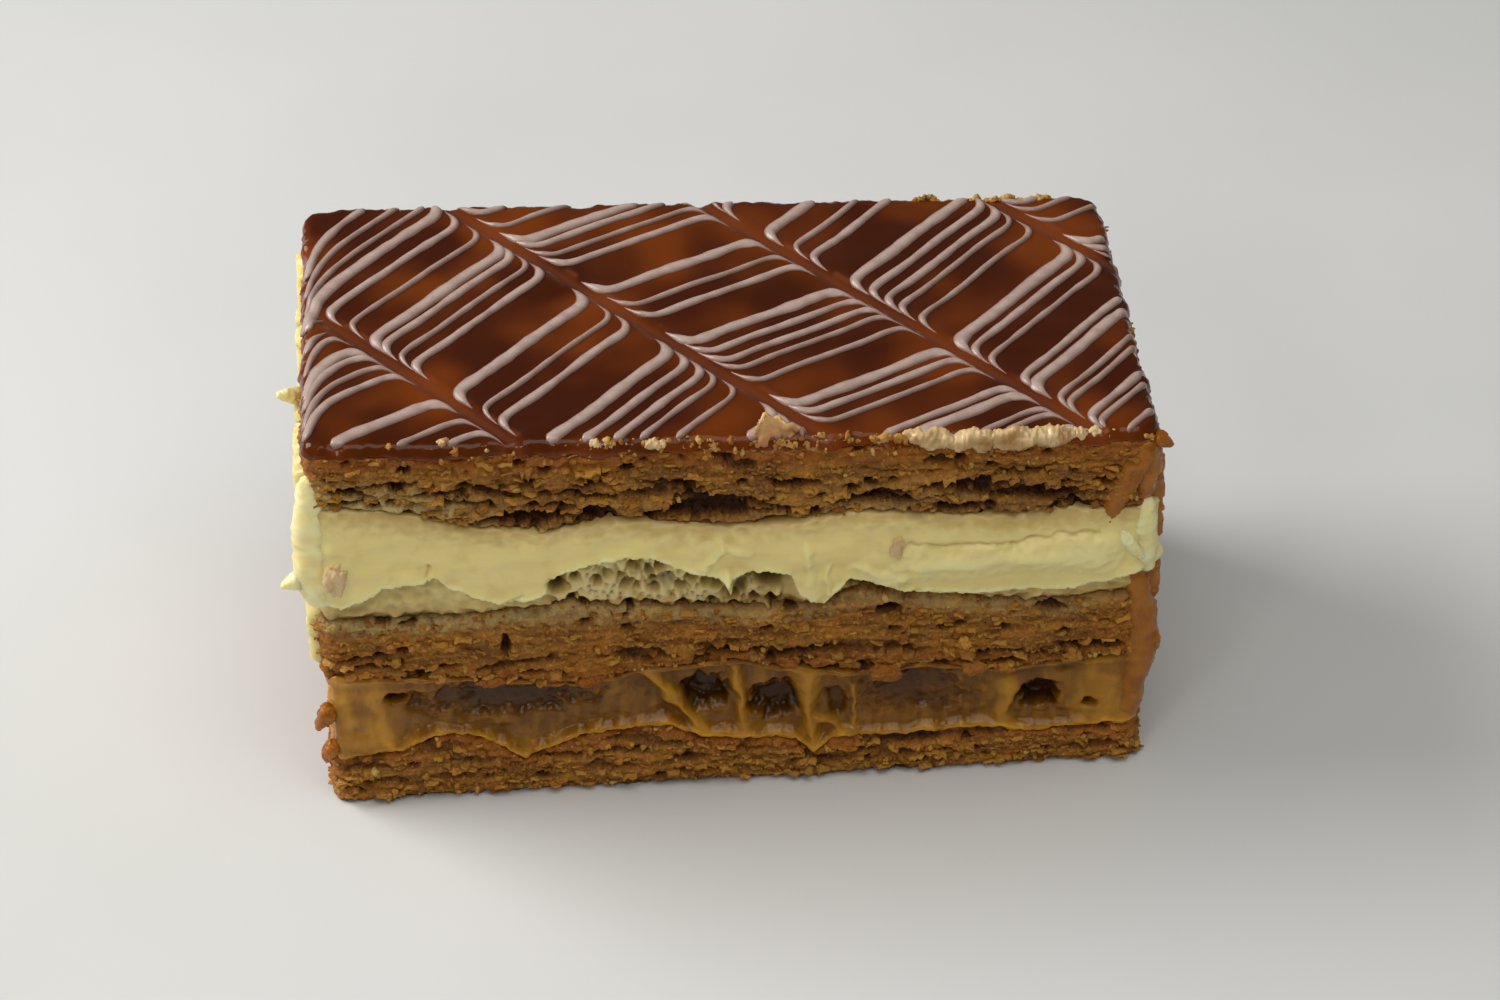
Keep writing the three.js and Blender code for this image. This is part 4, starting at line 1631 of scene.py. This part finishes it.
@dataclass
class PastryCrumbs:
    """Rounded crumbs of pastry that cling to the torn edges and to the fillings' seams.

    Those on the sheets' sides vary in place between runs, as the loose flakes do.
    """

    sheets: Sequence[PastrySheet]
    glaze: GlazeCoat
    name: str = "pastry_crumbs"
    slot: str = "puff_pastry"
    count: int = 900
    rim_count: int = 90
    rim: Points = ((-50, 0.1), (-22, 0.2), (-17, 0.8), (10, 1.0), (19, 0.5), (42, 0.4), (46, 0.9), (50, 0.7))
    small: float = 0.14
    large: float = 0.55
    seed: int = 17

    def rim_places(self, rng: np.random.Generator) -> Array:
        """Places along the glaze's front edge, thickest where its rim is broken."""
        x = rng.uniform(-FORM.length / 2 + 2, FORM.length / 2 - 1, 3 * self.rim_count)
        x = x[rng.random(len(x)) < along(self.rim, x)][: self.rim_count]
        y = -FORM.depth / 2 + np.abs(rng.normal(0, 0.45, len(x))) - 0.05
        xy = np.column_stack([x, y])
        return np.column_stack([xy, self.glaze.surface(xy)])

    def build(self, material: bpy.types.Material) -> None:
        """Copies one rough ball to many places, each copy turned and squeezed, and joins them.

        Args:
            material: The pastry's finish.
        """
        bpy.ops.object.select_all(action="DESELECT")
        bpy.ops.mesh.primitive_uv_sphere_add(segments=8, ring_count=5, radius=1.0)
        ball, corners = taken_pattern()
        rng = np.random.default_rng(self.seed)
        roots = [self.rim_places(rng)]
        for sheet in self.sheets:
            seam = ease(1.6, 0.2, sheet.at.edge) + 0.2
            kept = (FORM.inside(sheet.at.xy) < 0.5) & (sheet.at.level > 0.8)
            weight = seam * kept * (0.5 + sheet.at.front)
            picks = rng.choice(len(weight), self.count // len(self.sheets), p=weight / weight.sum())
            roots.append(sheet.points[picks])
        points, faces, tones = [], [], []
        for root in np.vstack(roots):
            size = self.small + (self.large - self.small) * rng.random() ** 2.4
            lumpy = 1 + 0.7 * Noise.smooth(ball * 1.4 + rng.uniform(0, 90, 3), self.seed)
            turn = rng.uniform(0, 2 * math.pi)
            spun = ball * lumpy[:, None] * rng.uniform(0.5, 1.3, 3)
            xy = spun[:, :2] @ np.array([[math.cos(turn), math.sin(turn)], [-math.sin(turn), math.cos(turn)]])
            faces += [tuple(k + len(points) * len(ball) for k in face) for face in corners]
            points.append(np.column_stack([xy, spun[:, 2]]) * size + root)
            tones.append(np.full(len(ball), rng.random()))
        tone = np.concatenate(tones)
        marks = {"pale_tone_and_highlight": 0.6 * tone, "soak": 0.6 * ease(0.5, 0.0, tone), "film": 0.5 * ease(0.8, 1.0, tone)}
        piece = from_arrays(self.name, np.vstack(points), faces, marks)
        finish_piece(piece, material)


@dataclass(frozen=True)
class Lump:
    """A large crumb stuck to the front: its place, half sizes, and its tone from amber, 0, to pale, 1."""

    x: float
    level: float
    half_x: float
    half_z: float
    tone: float


@dataclass
class StuckCrumbs:
    """The few large crumbs that hang from the middle sheet's edge or stick to the cream."""

    stuck: Sequence[tuple[Layer, Sequence[Lump]]]
    name: str = "stuck_crumbs"
    slot: str = "puff_pastry"
    seed: int = 29
    proud: float = 0.5  # how far a crumb's middle stands out of the layer

    def build(self, material: bpy.types.Material) -> None:
        """Shapes one rough ball into each crumb, set on the layer that carries it, and joins them.

        Args:
            material: The crumbs' finish.
        """
        bpy.ops.object.select_all(action="DESELECT")
        bpy.ops.mesh.primitive_ico_sphere_add(subdivisions=4, radius=1.0)
        ball, corners = taken_pattern()
        points, faces, tones = [], [], []
        for layer, lumps in self.stuck:
            for lump in lumps:
                away = np.hypot(layer.at.xy[:, 0] - lump.x, layer.at.level - lump.level)
                nearest = np.argmin(away + FORM.length * (1 - layer.at.front))
                root = layer.points[nearest] + (0, -self.proud, 0)
                spots = ball * 1.2 + (lump.x, lump.level, 0.0)
                lumpy = 1 + 0.45 * Noise.fractal(spots, self.seed)
                lumpy = lumpy + 0.12 * Noise.smooth(spots * 5, self.seed + 4)
                size = (lump.half_x, 0.7 * min(lump.half_x, lump.half_z), lump.half_z)
                faces += [tuple(k + len(points) * len(ball) for k in face) for face in corners]
                points.append(ball * lumpy[:, None] * size + root)
                tones.append(np.full(len(ball), lump.tone))
        tone = np.concatenate(tones)
        marks = {"pale_tone_and_highlight": 0.9 * ease(0.2, 0.8, tone), "soak": 0.8 * ease(0.6, 0.1, tone)}
        marks["crown"] = tone
        piece = from_arrays(self.name, np.vstack(points), faces, marks)
        finish_piece(piece, material)


@dataclass
class UprightFlake:
    """A broken leaf of pastry that stands up from the glaze's front edge."""

    name: str = "upright_flake"
    slot: str = "puff_pastry"
    x: float = 5.4
    y: float = -25.1
    foot: float = 49.6
    wide: float = 8.2
    tall: float = 5.0
    thick: float = 0.5
    seed: int = 23

    def build(self, material: bpy.types.Material) -> None:
        """Models the flake as a thick crumpled sheet with a ragged top.

        Args:
            material: The flake's finish.
        """
        bpy.ops.object.select_all(action="DESELECT")
        bpy.ops.mesh.primitive_grid_add(x_subdivisions=22, y_subdivisions=18, size=2)
        piece = just_added(self.name)
        unit = places(piece.data)
        u, v = unit[:, 0], (unit[:, 1] + 1) / 2
        spots = np.column_stack([u * 2, v * 2, np.zeros(len(u))])
        peak = np.interp(u, [-1, -0.8, -0.55, -0.1, 0.3, 0.6, 1], [0.5, 0.86, 1.0, 0.86, 0.8, 0.62, 0.45])
        peak = peak + 0.16 * Noise.fractal(spots * (3, 0, 0), self.seed)
        crumple = 0.7 * Noise.fractal(spots, self.seed + 1)
        x = self.x + u * self.wide / 2 * (1 - 0.25 * v)
        level = self.foot + v * peak * self.tall
        y = self.y + crumple + 0.5 * v
        points = np.column_stack([x, y, level * FORM.lean(x)])
        piece.data.vertices.foreach_set("co", points.ravel())
        wall = piece.modifiers.new("wall", "SOLIDIFY")
        wall.thickness = self.thick
        wall.offset = 0.0
        bpy.ops.object.modifier_apply(modifier=wall.name)
        face_outward(piece)
        points = places(piece.data)
        tip = ease(self.foot + 0.5, self.foot + 0.8 * self.tall, points[:, 2])
        settle(piece, points, {"crown": 0.15 + 0.85 * tip})
        finish_piece(piece, material)


@dataclass(frozen=True)
class Studio:
    """The pale floor, the soft lights and the camera at the photograph's angle."""

    azimuth: float = math.radians(-4.391)
    elevation: float = math.radians(36.853)
    roll: float = math.radians(-0.437)
    distance: float = 495.18
    target: tuple[float, float, float] = (3.629, 0.0, 23.782)
    lens: float = 95.0
    floor_size: float = 8.0

    def floor(self) -> None:
        """Lays a wide satin floor under the slice."""
        bpy.ops.object.select_all(action="DESELECT")
        bpy.ops.mesh.primitive_plane_add(size=self.floor_size)
        floor = bpy.context.object
        floor.name = "floor"
        made = Finish("pale_floor", {"Specular IOR Level": 0.3})
        w = made.wiring
        clouded = {"Place": w.object_places(), "Size": 120.0, "Low": 0.3, "High": 0.7}
        cloud = w.use(PATTERNS.mottle, clouded).outputs[0]
        colour = w.blend(cloud, srgb(212, 213, 210), srgb(218, 218, 217))
        made.wire(Base_Color=colour, Roughness=w.fit(cloud, 0.45, 0.6))
        floor.data.materials.append(made.material)

    def light(
        self, name: str, place: Sequence[float], size: float, watts: float, tint: Sequence[float]
    ) -> None:
        """Hangs a soft square light that faces the slice.

        Args:
            name: The light's name.
            place: Where it hangs, in metres.
            size: Its side, in metres.
            watts: Its power.
            tint: Its colour.
        """
        bpy.ops.object.light_add(type="AREA", location=place)
        lamp = bpy.context.object
        lamp.name = name
        lamp.data.size = size
        lamp.data.energy = watts
        lamp.data.color = tint
        lamp.rotation_euler = (Vector((0, 0, 0.025)) - Vector(place)).to_track_quat("-Z", "Y").to_euler()

    def lights(self) -> None:
        """Hangs the window light at the left, two weaker lights in front and the room's glow."""
        self.light("window", (-0.62, 0.22, 0.5), size=0.5, watts=6.5, tint=(1.0, 0.98, 0.97))
        self.light("ceiling", (0.1, -0.3, 0.85), size=0.7, watts=3.5, tint=(1.0, 0.98, 0.92))
        self.light("lamp", (-0.3, -0.5, 0.46), size=0.12, watts=0.45, tint=(1.0, 0.97, 0.9))
        world = bpy.data.worlds.new("room")
        world.use_nodes = True
        glow = world.node_tree.nodes["Background"]
        glow.inputs["Color"].default_value = (0.86, 0.9, 1.0, 1.0)
        glow.inputs["Strength"].default_value = 0.12
        bpy.context.scene.world = world

    def camera(self) -> None:
        """Sets the camera where the photograph was taken from."""
        cos_e, sin_e = math.cos(self.elevation), math.sin(self.elevation)
        back = Vector((math.sin(self.azimuth) * cos_e, -math.cos(self.azimuth) * cos_e, sin_e))
        right = Vector((math.cos(self.azimuth), math.sin(self.azimuth), 0))
        up = back.cross(right)
        cos_r, sin_r = math.cos(self.roll), math.sin(self.roll)
        turned = Matrix((right * cos_r + up * sin_r, up * cos_r - right * sin_r, back)).transposed()
        place = Vector(FORM.place(np.array([self.target]))[0]) + back * self.distance * METRE
        bpy.ops.object.camera_add()
        camera = bpy.context.object
        camera.matrix_world = Matrix.Translation(place) @ turned.to_4x4()
        camera.data.lens = self.lens
        camera.data.sensor_width = 36.0
        bpy.context.scene.camera = camera
        bpy.context.scene.view_settings.view_transform = "Standard"

    def build(self) -> None:
        """Sets the whole stage."""
        self.floor()
        self.lights()
        self.camera()


UNDERSIDE = Seam(0.0, wave=0.0)
CARAMEL_FOOT = Seam(
    7.2,
    (
        (-50, -1.2), (-41, 0.0), (-37, 2.4), (-33, 2.2), (-28, -0.5), (-26, -1.7), (-24, -0.5), (-18, 1.4),
        (-12.7, 2.3), (-8, 2.0), (-4.7, 0.0), (1, -0.8), (7, -1.2), (9.3, -3.6), (11.5, -1.2),
        (30, -1.2), (34, -1.7),
        (50, -1.2),
    ),
    seed=11,
)
CARAMEL_HEAD = Seam(
    18.0,
    (
        (-50, 1.2), (-40, 0.2), (-30, -0.6), (-20, -1.9), (-10, 0.0), (0, 0.7), (10, -1.2), (17, -2.4),
        (23, -1.2),
        (33, -2.4), (43, -1.6), (50, -0.6),
    ),
    seed=12,
)
CREAM_FOOT = Seam(
    27.8,
    (
        (-50, -0.6), (-40, -0.9), (-25, 0.0), (-18, 0.9), (-10, 0.0), (3, -1.2), (10, -0.4), (15, 1.2),
        (22, 0.4),
        (30, -0.7), (38, -1.5), (46, -0.6), (50, 0.0),
    ),
    seed=13,
)
CREAM_HEAD = Seam(
    40.2,
    (
        (-50, 3.2), (-42, 2.8), (-36, 1.6), (-30, -0.3), (-22, -0.9), (-14, 0.4), (-4, -0.9), (6, -0.6),
        (14, 1.0),
        (22, 0.0), (30, -0.7), (40, 0.2), (50, -0.6),
    ),
    seed=14,
)
PASTRY_HEAD = Seam(50.4, wave=0.25, seed=15)


def pastry_sheets() -> list[PastrySheet]:
    """The three sheets of pastry, from the bottom up."""
    bottom = PastrySheet("pastry_bottom", "bottom_pastry", "puff_pastry", UNDERSIDE, CARAMEL_FOOT, 101)
    bottom.leaf_stagger = 0.3
    bottom.gap_from, bottom.gap_to = 0.35, 1.0
    bottom.gap_deep = 0.9
    bottom.soak_at = 1.0
    bottom.hollows = (
        Hollow(21, 5.0, 6, 0.9, 1.5), Hollow(-6, 4.2, 3, 0.6, 1.2), Hollow(38, 6.2, 2, 0.8, 1.6),
    )
    middle = PastrySheet("pastry_middle", "middle_pastry", "puff_pastry", CARAMEL_HEAD, CREAM_FOOT, 131)
    middle.leaf_stagger = 0.22
    middle.pore_share = 0.12
    middle.gap_from, middle.gap_to = 0.0, 0.36
    middle.gap_deep = 1.3
    middle.soak_at = 0.0
    middle.film = ((-50, 0.7), (-36, 0.6), (-20, 0.55), (0, 0.45), (12, 0.3), (22, 0.5), (36, 0.5), (50, 0.2))
    middle.film_at = 1.0
    middle.film_reach = 0.3
    middle.hollows = (
        Hollow(-18, 28.9, 1.3, 0.7, 1.6), Hollow(-18, 26.2, 1.0, 0.5, 1.6),
        Hollow(-12.7, 27.8, 0.7, 0.5, 1.4),
        Hollow(18.3, 26.0, 1.9, 1.0, 2.2), Hollow(-38.7, 26.5, 0.7, 0.5, 1.2),
        Hollow(-27.7, 22.7, 0.6, 2.0, 1.6),
        Hollow(37.7, 25.3, 2.2, 0.8, 1.7), Hollow(43, 19.0, 4.5, 0.8, 2.0),
    )
    top = PastrySheet("pastry_top", "top_pastry", "puff_pastry", CREAM_HEAD, PASTRY_HEAD, 161)
    top.leaf_stagger = 0.34
    top.pore_share = 0.34
    top.pore_tall = 1.7
    top.gap_from, top.gap_to = 0.0, 0.6
    top.gap_deep = 2.0
    top.soak_at = 1.0
    top.head_round = 0.1
    top.film = ((-50, 1.0), (-40, 0.9), (-33, 0.6), (-26, 0.15), (0, 0.1), (15, 0.3), (30, 0.1), (50, 0.0))
    top.film_at = 0.0
    top.film_reach = 0.75
    top.hollows = (
        Hollow(-25, 41.3, 5.0, 1.2, 2.4), Hollow(-16.5, 41.5, 2.5, 1.6, 2.2),
        Hollow(-3, 42.0, 6.0, 1.6, 2.6),
        Hollow(26, 41.2, 3.2, 0.9, 2.8), Hollow(36, 43.0, 7.0, 1.2, 2.0), Hollow(18, 43.5, 3.0, 0.9, 1.7),
        Hollow(-10, 44.6, 4.0, 0.8, 1.4), Hollow(-24, 46.3, 1.5, 0.9, 1.3),
        Hollow(0.5, 48.2, 2.5, 0.9, 1.2),
        Hollow(24, 48.2, 2.2, 0.8, 1.3),
    )
    return [bottom, middle, top]


def caramel_filling() -> CaramelFilling:
    """The caramel with the strands and bubbles of its front."""
    filling = CaramelFilling("caramel_filling", "caramel_layer", "caramel", CARAMEL_FOOT, CARAMEL_HEAD, 201)
    filling.strands = (
        Strand((-10.4, 17.2), (-8.0, 13.0), 1.4, 0.1, 0.6), Strand((-8.0, 13.0), (-4.0, 7.2),
        0.9, 0.2, 1.6),
        Strand((-0.3, 17.6), (1.0, 6.2), 0.75, 0.2, 1.9), Strand((8.4, 16.5), (9.3, 3.4), 1.9, 0.4, 0.4),
        Strand((9.8, 8.6), (13.6, 6.2), 0.9, 0.0, 0.8), Strand((14.3, 13.4), (14.5, 7.0), 0.4, -0.3),
        Strand((33.4, 12.6), (32.3, 6.0), 1.4, 0.2, 1.2), Strand((-43.9, 15.4), (-43.0, 9.0), 1.0, 0.0),
        Strand((-48.2, 17.0), (-47.4, 11.5), 1.3, 0.1, 0.7),
    )
    filling.hollows = (
        Hollow(-4.0, 13.2, 3.2, 2.9, 2.4), Hollow(4.7, 11.7, 3.5, 3.3, 2.0),
        Hollow(36.9, 10.3, 2.9, 2.4, 3.0),
        Hollow(43.3, 9.3, 0.9, 1.0, 2.4), Hollow(-41.2, 14.7, 1.5, 1.0, 1.8),
        Hollow(-29.0, 13.8, 13.0, 2.6, 0.9),
        Hollow(22.0, 11.8, 8.5, 3.4, 0.8), Hollow(12.2, 11.0, 1.4, 2.8, 0.9),
    )
    return filling


def cream_filling() -> CreamFilling:
    """The cream with the torn lip, hollows and lumps of its front."""
    filling = CreamFilling("cream_filling", "cream_layer", "vanilla_cream", CREAM_FOOT, CREAM_HEAD, 231)
    filling.lip = (
        (-50, 29.9), (-46.3, 30.0), (-43.3, 31.2), (-41.7, 32.5), (-36.7, 33.0), (-35.7, 34.0),
        (-34, 32.0), (-30, 30.2),
        (-28, 29.6), (-23.3, 30.5), (-21.3, 33.7), (-18, 35.0), (-12.7, 36.0), (-10, 35.6), (-7.3, 34.0),
        (-4, 33.0),
        (-1, 32.4), (3.3, 33.3), (6.3, 32.7), (7.3, 30.0), (8.7, 28.4), (10.3, 28.0), (12.3, 30.0),
        (13.3, 31.7),
        (15, 31.3), (18.7, 29.7), (28.7, 28.4), (39.3, 29.0), (43.3, 29.7), (48.7, 31.3), (50, 31.3),
    )
    filling.sunk = (
        (-50, 1.0), (-44, 1.6), (-36, 1.8), (-33, 0.9), (-24, 0.9), (-21, 1.2), (-4, 1.5), (-1, 2.3),
        (6, 2.5), (8, 0.6),
        (12, 0.8), (14, 1.8), (18, 1.2), (24, 0.7), (50, 0.9),
    )
    filling.hollows = (
        Hollow(4.3, 30.7, 1.4, 1.1, 3.6), Hollow(4.4, 27.8, 1.0, 1.0, 3.0),
        Hollow(2.8, 32.0, 3.2, 1.3, 2.4),
        Hollow(15.5, 29.8, 2.8, 0.9, 1.8), Hollow(-21.3, 32.0, 1.6, 1.8, 1.5),
        Hollow(-8.5, 31.4, 1.8, 1.2, 1.2),
    )
    filling.lumps = (
        Strand((15.4, 32.4), (18.4, 31.7), 1.5, 1.0), Strand((-1.7, 32.6), (-0.9, 29.8), 0.75, 1.9, 0.6),
        Strand((4.7, 31.0), (3.9, 26.8), 0.7, 1.7, 1.1), Strand((8.4, 36.3), (8.9, 29.2), 0.8, 0.55),
        Strand((11.0, 33.6), (10.6, 29.4), 0.55, 0.6), Strand((-4.2, 34.0), (-1.7, 37.2), 0.6, 0.7),
        Strand((-1.7, 37.2), (1.6, 36.0), 0.45, 0.5), Strand((-47, 35.4), (-46.7, 34.0), 1.6, 0.5),
        Strand((22, 33.4), (43, 34.4), 2.4, 0.9), Strand((34.2, 26.4), (36.6, 27.4), 0.5, 0.9),
        Strand((20.5, 36.3), (33, 36.0), 0.3, -0.45), Strand((32.5, 36.1), (43, 37.2), 0.35, -0.55),
        Strand((-36.3, 35.1), (-36.4, 33.2), 0.25, -0.7), Strand((-32, 30.4), (-28.7, 29.6), 0.3, -0.6),
        Strand((-28.7, 29.6), (-25.3, 30.4), 0.3, -0.6),
    )
    return filling


CARAMEL_STROKES = (
    Stroke(
        ((48.8, -24.6, 50.2), (47.6, -24.7, 47.0), (46.0, -24.8, 43.5), (44.6, -24.9, 40.0),
        (44.0, -25.6, 37.6)),
        (1.7, 1.9, 1.8, 1.4, 0.5),
    ),
    Stroke(
        ((48.6, -24.2, 50.4), (48.6, -24.2, 47.5), (48.5, -24.3, 44.0), (48.2, -24.9, 41.0)),
        (1.4, 2.0, 1.9, 0.9),
    ),
    Stroke(((49.2, -24.4, 50.0), (50.4, -24.4, 49.6), (51.6, -24.6, 48.8)), (1.3, 0.9, 0.3)),
    Stroke(
        (
            (48.2, -24.4, 31.0), (48.4, -24.2, 27.0), (48.9, -23.8, 22.5), (49.3, -23.7, 18.5),
            (49.1, -23.8, 15.5),
            (48.3, -24.1, 11.5), (48.0, -24.1, 7.0), (48.0, -24.0, 4.0),
        ),
        (1.0, 1.8, 2.2, 2.5, 2.2, 1.8, 1.7, 1.0),
    ),
    Stroke(((50.2, -24.2, 20.5), (51.2, -24.4, 18.8), (51.0, -24.6, 16.8)), (0.8, 1.1, 0.7)),
    Stroke(((-49.2, -24.4, 14.0), (-50.2, -24.6, 12.2), (-51.2, -24.9, 10.8)), (1.4, 1.1, 0.4)),
    Stroke(((-49.0, -24.4, 8.6), (-49.8, -24.6, 7.0), (-50.6, -24.9, 5.8)), (1.2, 1.0, 0.4)),
)
CREAM_STROKES = (
    Stroke(
        ((48.8, -25.0, 41.5), (48.6, -25.2, 37.5), (49.0, -25.1, 33.5), (49.4, -24.8, 29.8)),
        (0.9, 1.6, 1.6, 0.9),
    ),
    Stroke(((45.6, -26.0, 37.4), (46.6, -26.2, 35.2), (48.6, -26.2, 33.2)), (0.6, 1.2, 0.6)),
    Stroke(
        ((-49.2, -24.2, 47.5), (-49.6, -24.0, 43.0), (-49.5, -24.2, 37.0), (-49.9, -24.3, 33.2),
        (-49.2, -24.6, 29.0)),
        (1.2, 2.2, 2.4, 2.7, 1.6),
    ),
    Stroke(((-50.2, -24.6, 33.4), (-52.4, -25.0, 32.8), (-53.8, -25.2, 32.6)), (1.6, 1.0, 0.4)),
    Stroke(((-50.4, -7.5, 46.8), (-52.0, -9.0, 48.0), (-53.2, -10.0, 48.6)), (1.2, 0.9, 0.5)),
)
ICING_STROKES = (
    Stroke(((19.6, -25.0, 51.6), (22.3, -25.4, 51.2), (25.8, -25.5, 51.0)), (0.8, 1.3, 1.3)),
    Stroke(((25.0, -25.5, 51.0), (27.6, -25.5, 50.9), (30.3, -25.5, 51.0)), (1.2, 1.5, 1.3)),
    Stroke(((29.5, -25.5, 51.1), (32.4, -25.5, 51.0), (35.6, -25.5, 51.0)), (1.2, 1.4, 1.3)),
    Stroke(((34.8, -25.5, 51.1), (37.4, -25.4, 51.1), (40.0, -25.3, 51.2)), (1.1, 1.3, 0.9)),
    Stroke(((39.2, -25.3, 51.3), (40.6, -25.2, 51.3), (43.0, -25.0, 51.5)), (0.6, 0.9, 0.5)),
    Stroke(((-17.0, -25.3, 51.3), (-15.4, -25.4, 51.2), (-14.0, -25.3, 51.3)), (0.4, 0.6, 0.4)),
    Stroke(((-10.6, -25.2, 51.3), (-9.2, -25.4, 51.2), (-8.0, -25.3, 51.3)), (0.5, 0.8, 0.5)),
    Stroke(((-34.4, -24.6, 51.7), (-33.6, -24.8, 51.7), (-32.8, -24.6, 51.7)), (0.4, 0.7, 0.4)),
)
CARAMEL_CRUMBS = (
    Lump(-18.0, 17.0, 1.9, 1.1, 0.05), Lump(-2.0, 17.6, 1.6, 1.0, 0.05), Lump(18.0, 16.4, 2.0, 1.2, 0.3),
    Lump(22.8, 17.4, 1.3, 1.0, 0.45), Lump(13.6, 17.6, 1.2, 0.9, 0.35), Lump(28.6, 16.6, 1.5, 0.9, 0.3),
    Lump(32.8, 16.0, 1.3, 0.9, 0.35), Lump(-36.0, 17.0, 1.2, 1.1, 0.5), Lump(27.4, 20.8, 0.8, 0.8, 0.55),
    Lump(40.6, 18.0, 1.1, 0.8, 0.4), Lump(-29.6, 17.6, 1.6, 0.7, 0.05), Lump(6.4, 18.0, 1.2, 0.7, 0.2),
)
CREAM_CRUMBS = (Lump(18.9, 36.3, 0.8, 1.5, 0.95), Lump(-47.2, 34.8, 1.3, 2.0, 1.0))


def edge_strokes() -> list[Stroke]:
    """Short lumps of broken crust along the glaze's front edge and its golden rim at the back right."""
    rng = np.random.default_rng(37)
    strokes = []
    front, back = 50.8, 51.4
    spans = (
        (-22, -6, -25.2, front, 9),
        (-6, 20, -25.2, front, 22),
        (41, 48, -25.0, front, 7),
        (26, 45, 25.1, back, 26),
    )
    for start, end, y, height, count in spans:
        for x in rng.uniform(start, end, count):
            reach = rng.uniform(0.5, 1.5)
            level = rng.normal(height, 0.35)
            tilt = rng.normal(0, 0.3)
            size = rng.uniform(0.3, 0.8)
            path = [(x + step * reach, y + rng.normal(0, 0.12), level + step * tilt) for step in (-1, 0, 1)]
            strokes.append(Stroke(path, (0.6 * size, size, 0.6 * size)))
    return strokes


def main() -> None:
    """Builds the slice layer by layer, then the stage."""
    logging.basicConfig(level=logging.INFO, format="%(name)s: %(message)s")
    pastry = PastryFinish().material()
    cream = CreamFinish().material()
    caramel = CaramelFinish().material()
    sheets = pastry_sheets()
    for sheet in sheets:
        sheet.build(pastry)
    caramel_filling().build(caramel)
    filling = cream_filling()
    filling.build(cream)
    glaze = GlazeCoat()
    glaze.build(GlazeFinish().material())
    FeatherIcing(glaze).build(IcingFinish().material())
    # The wiped caramel's second colour is painted shade for its sunk parts.
    wiped = CaramelFinish("wiped_caramel", srgb(142, 78, 6), srgb(84, 38, 2), srgb(190, 124, 30)).material()
    crust = IcingFinish("icing_crust", srgb(222, 192, 140), srgb(170, 126, 72)).material()
    leaf = IcingFinish("pale_leaf", srgb(230, 184, 118), srgb(160, 90, 34)).material()
    EndSmear("cream_smear", "cream_end_smear", "vanilla_cream", Side.LEFT, 19.0, 48.0, 1.2, 301).build(cream)
    EndSmear("caramel_smear", "caramel_end_smear", "caramel", Side.RIGHT, 8.0, 47.5, 1.3, 331).build(wiped)
    LooseFlakes(sheets).build(pastry)
    PastryCrumbs(sheets, glaze).build(pastry)
    StuckCrumbs([(sheets[1], CARAMEL_CRUMBS)]).build(pastry)
    StuckCrumbs([(filling, CREAM_CRUMBS)], "cream_crumbs", proud=0.1).build(crust)
    UprightFlake().build(leaf)
    Dribbles("caramel_dribbles", "caramel", CARAMEL_STROKES, 401, marks={"thin": 0.35}).build(wiped)
    # The dabs take half of the cream's painted highlight colour, in patches.
    Dribbles("cream_dabs", "vanilla_cream", CREAM_STROKES, 431, marks={"pale_tone_and_highlight": 0.5}).build(cream)
    Dribbles("icing_chunks", "white_icing", ICING_STROKES, 461, 0.5, 1.9, marks={"crown": 0.75}).build(crust)
    broken = Dribbles("edge_crust", "puff_pastry", edge_strokes(), 491, 0.45, 0.9, steps=3, roundness=1)
    broken.marks = {"soak": 0.4, "pale_tone_and_highlight": 0.5, "film": 0.25}
    broken.build(pastry)
    Studio().build()


if __name__ == "__main__":
    main()
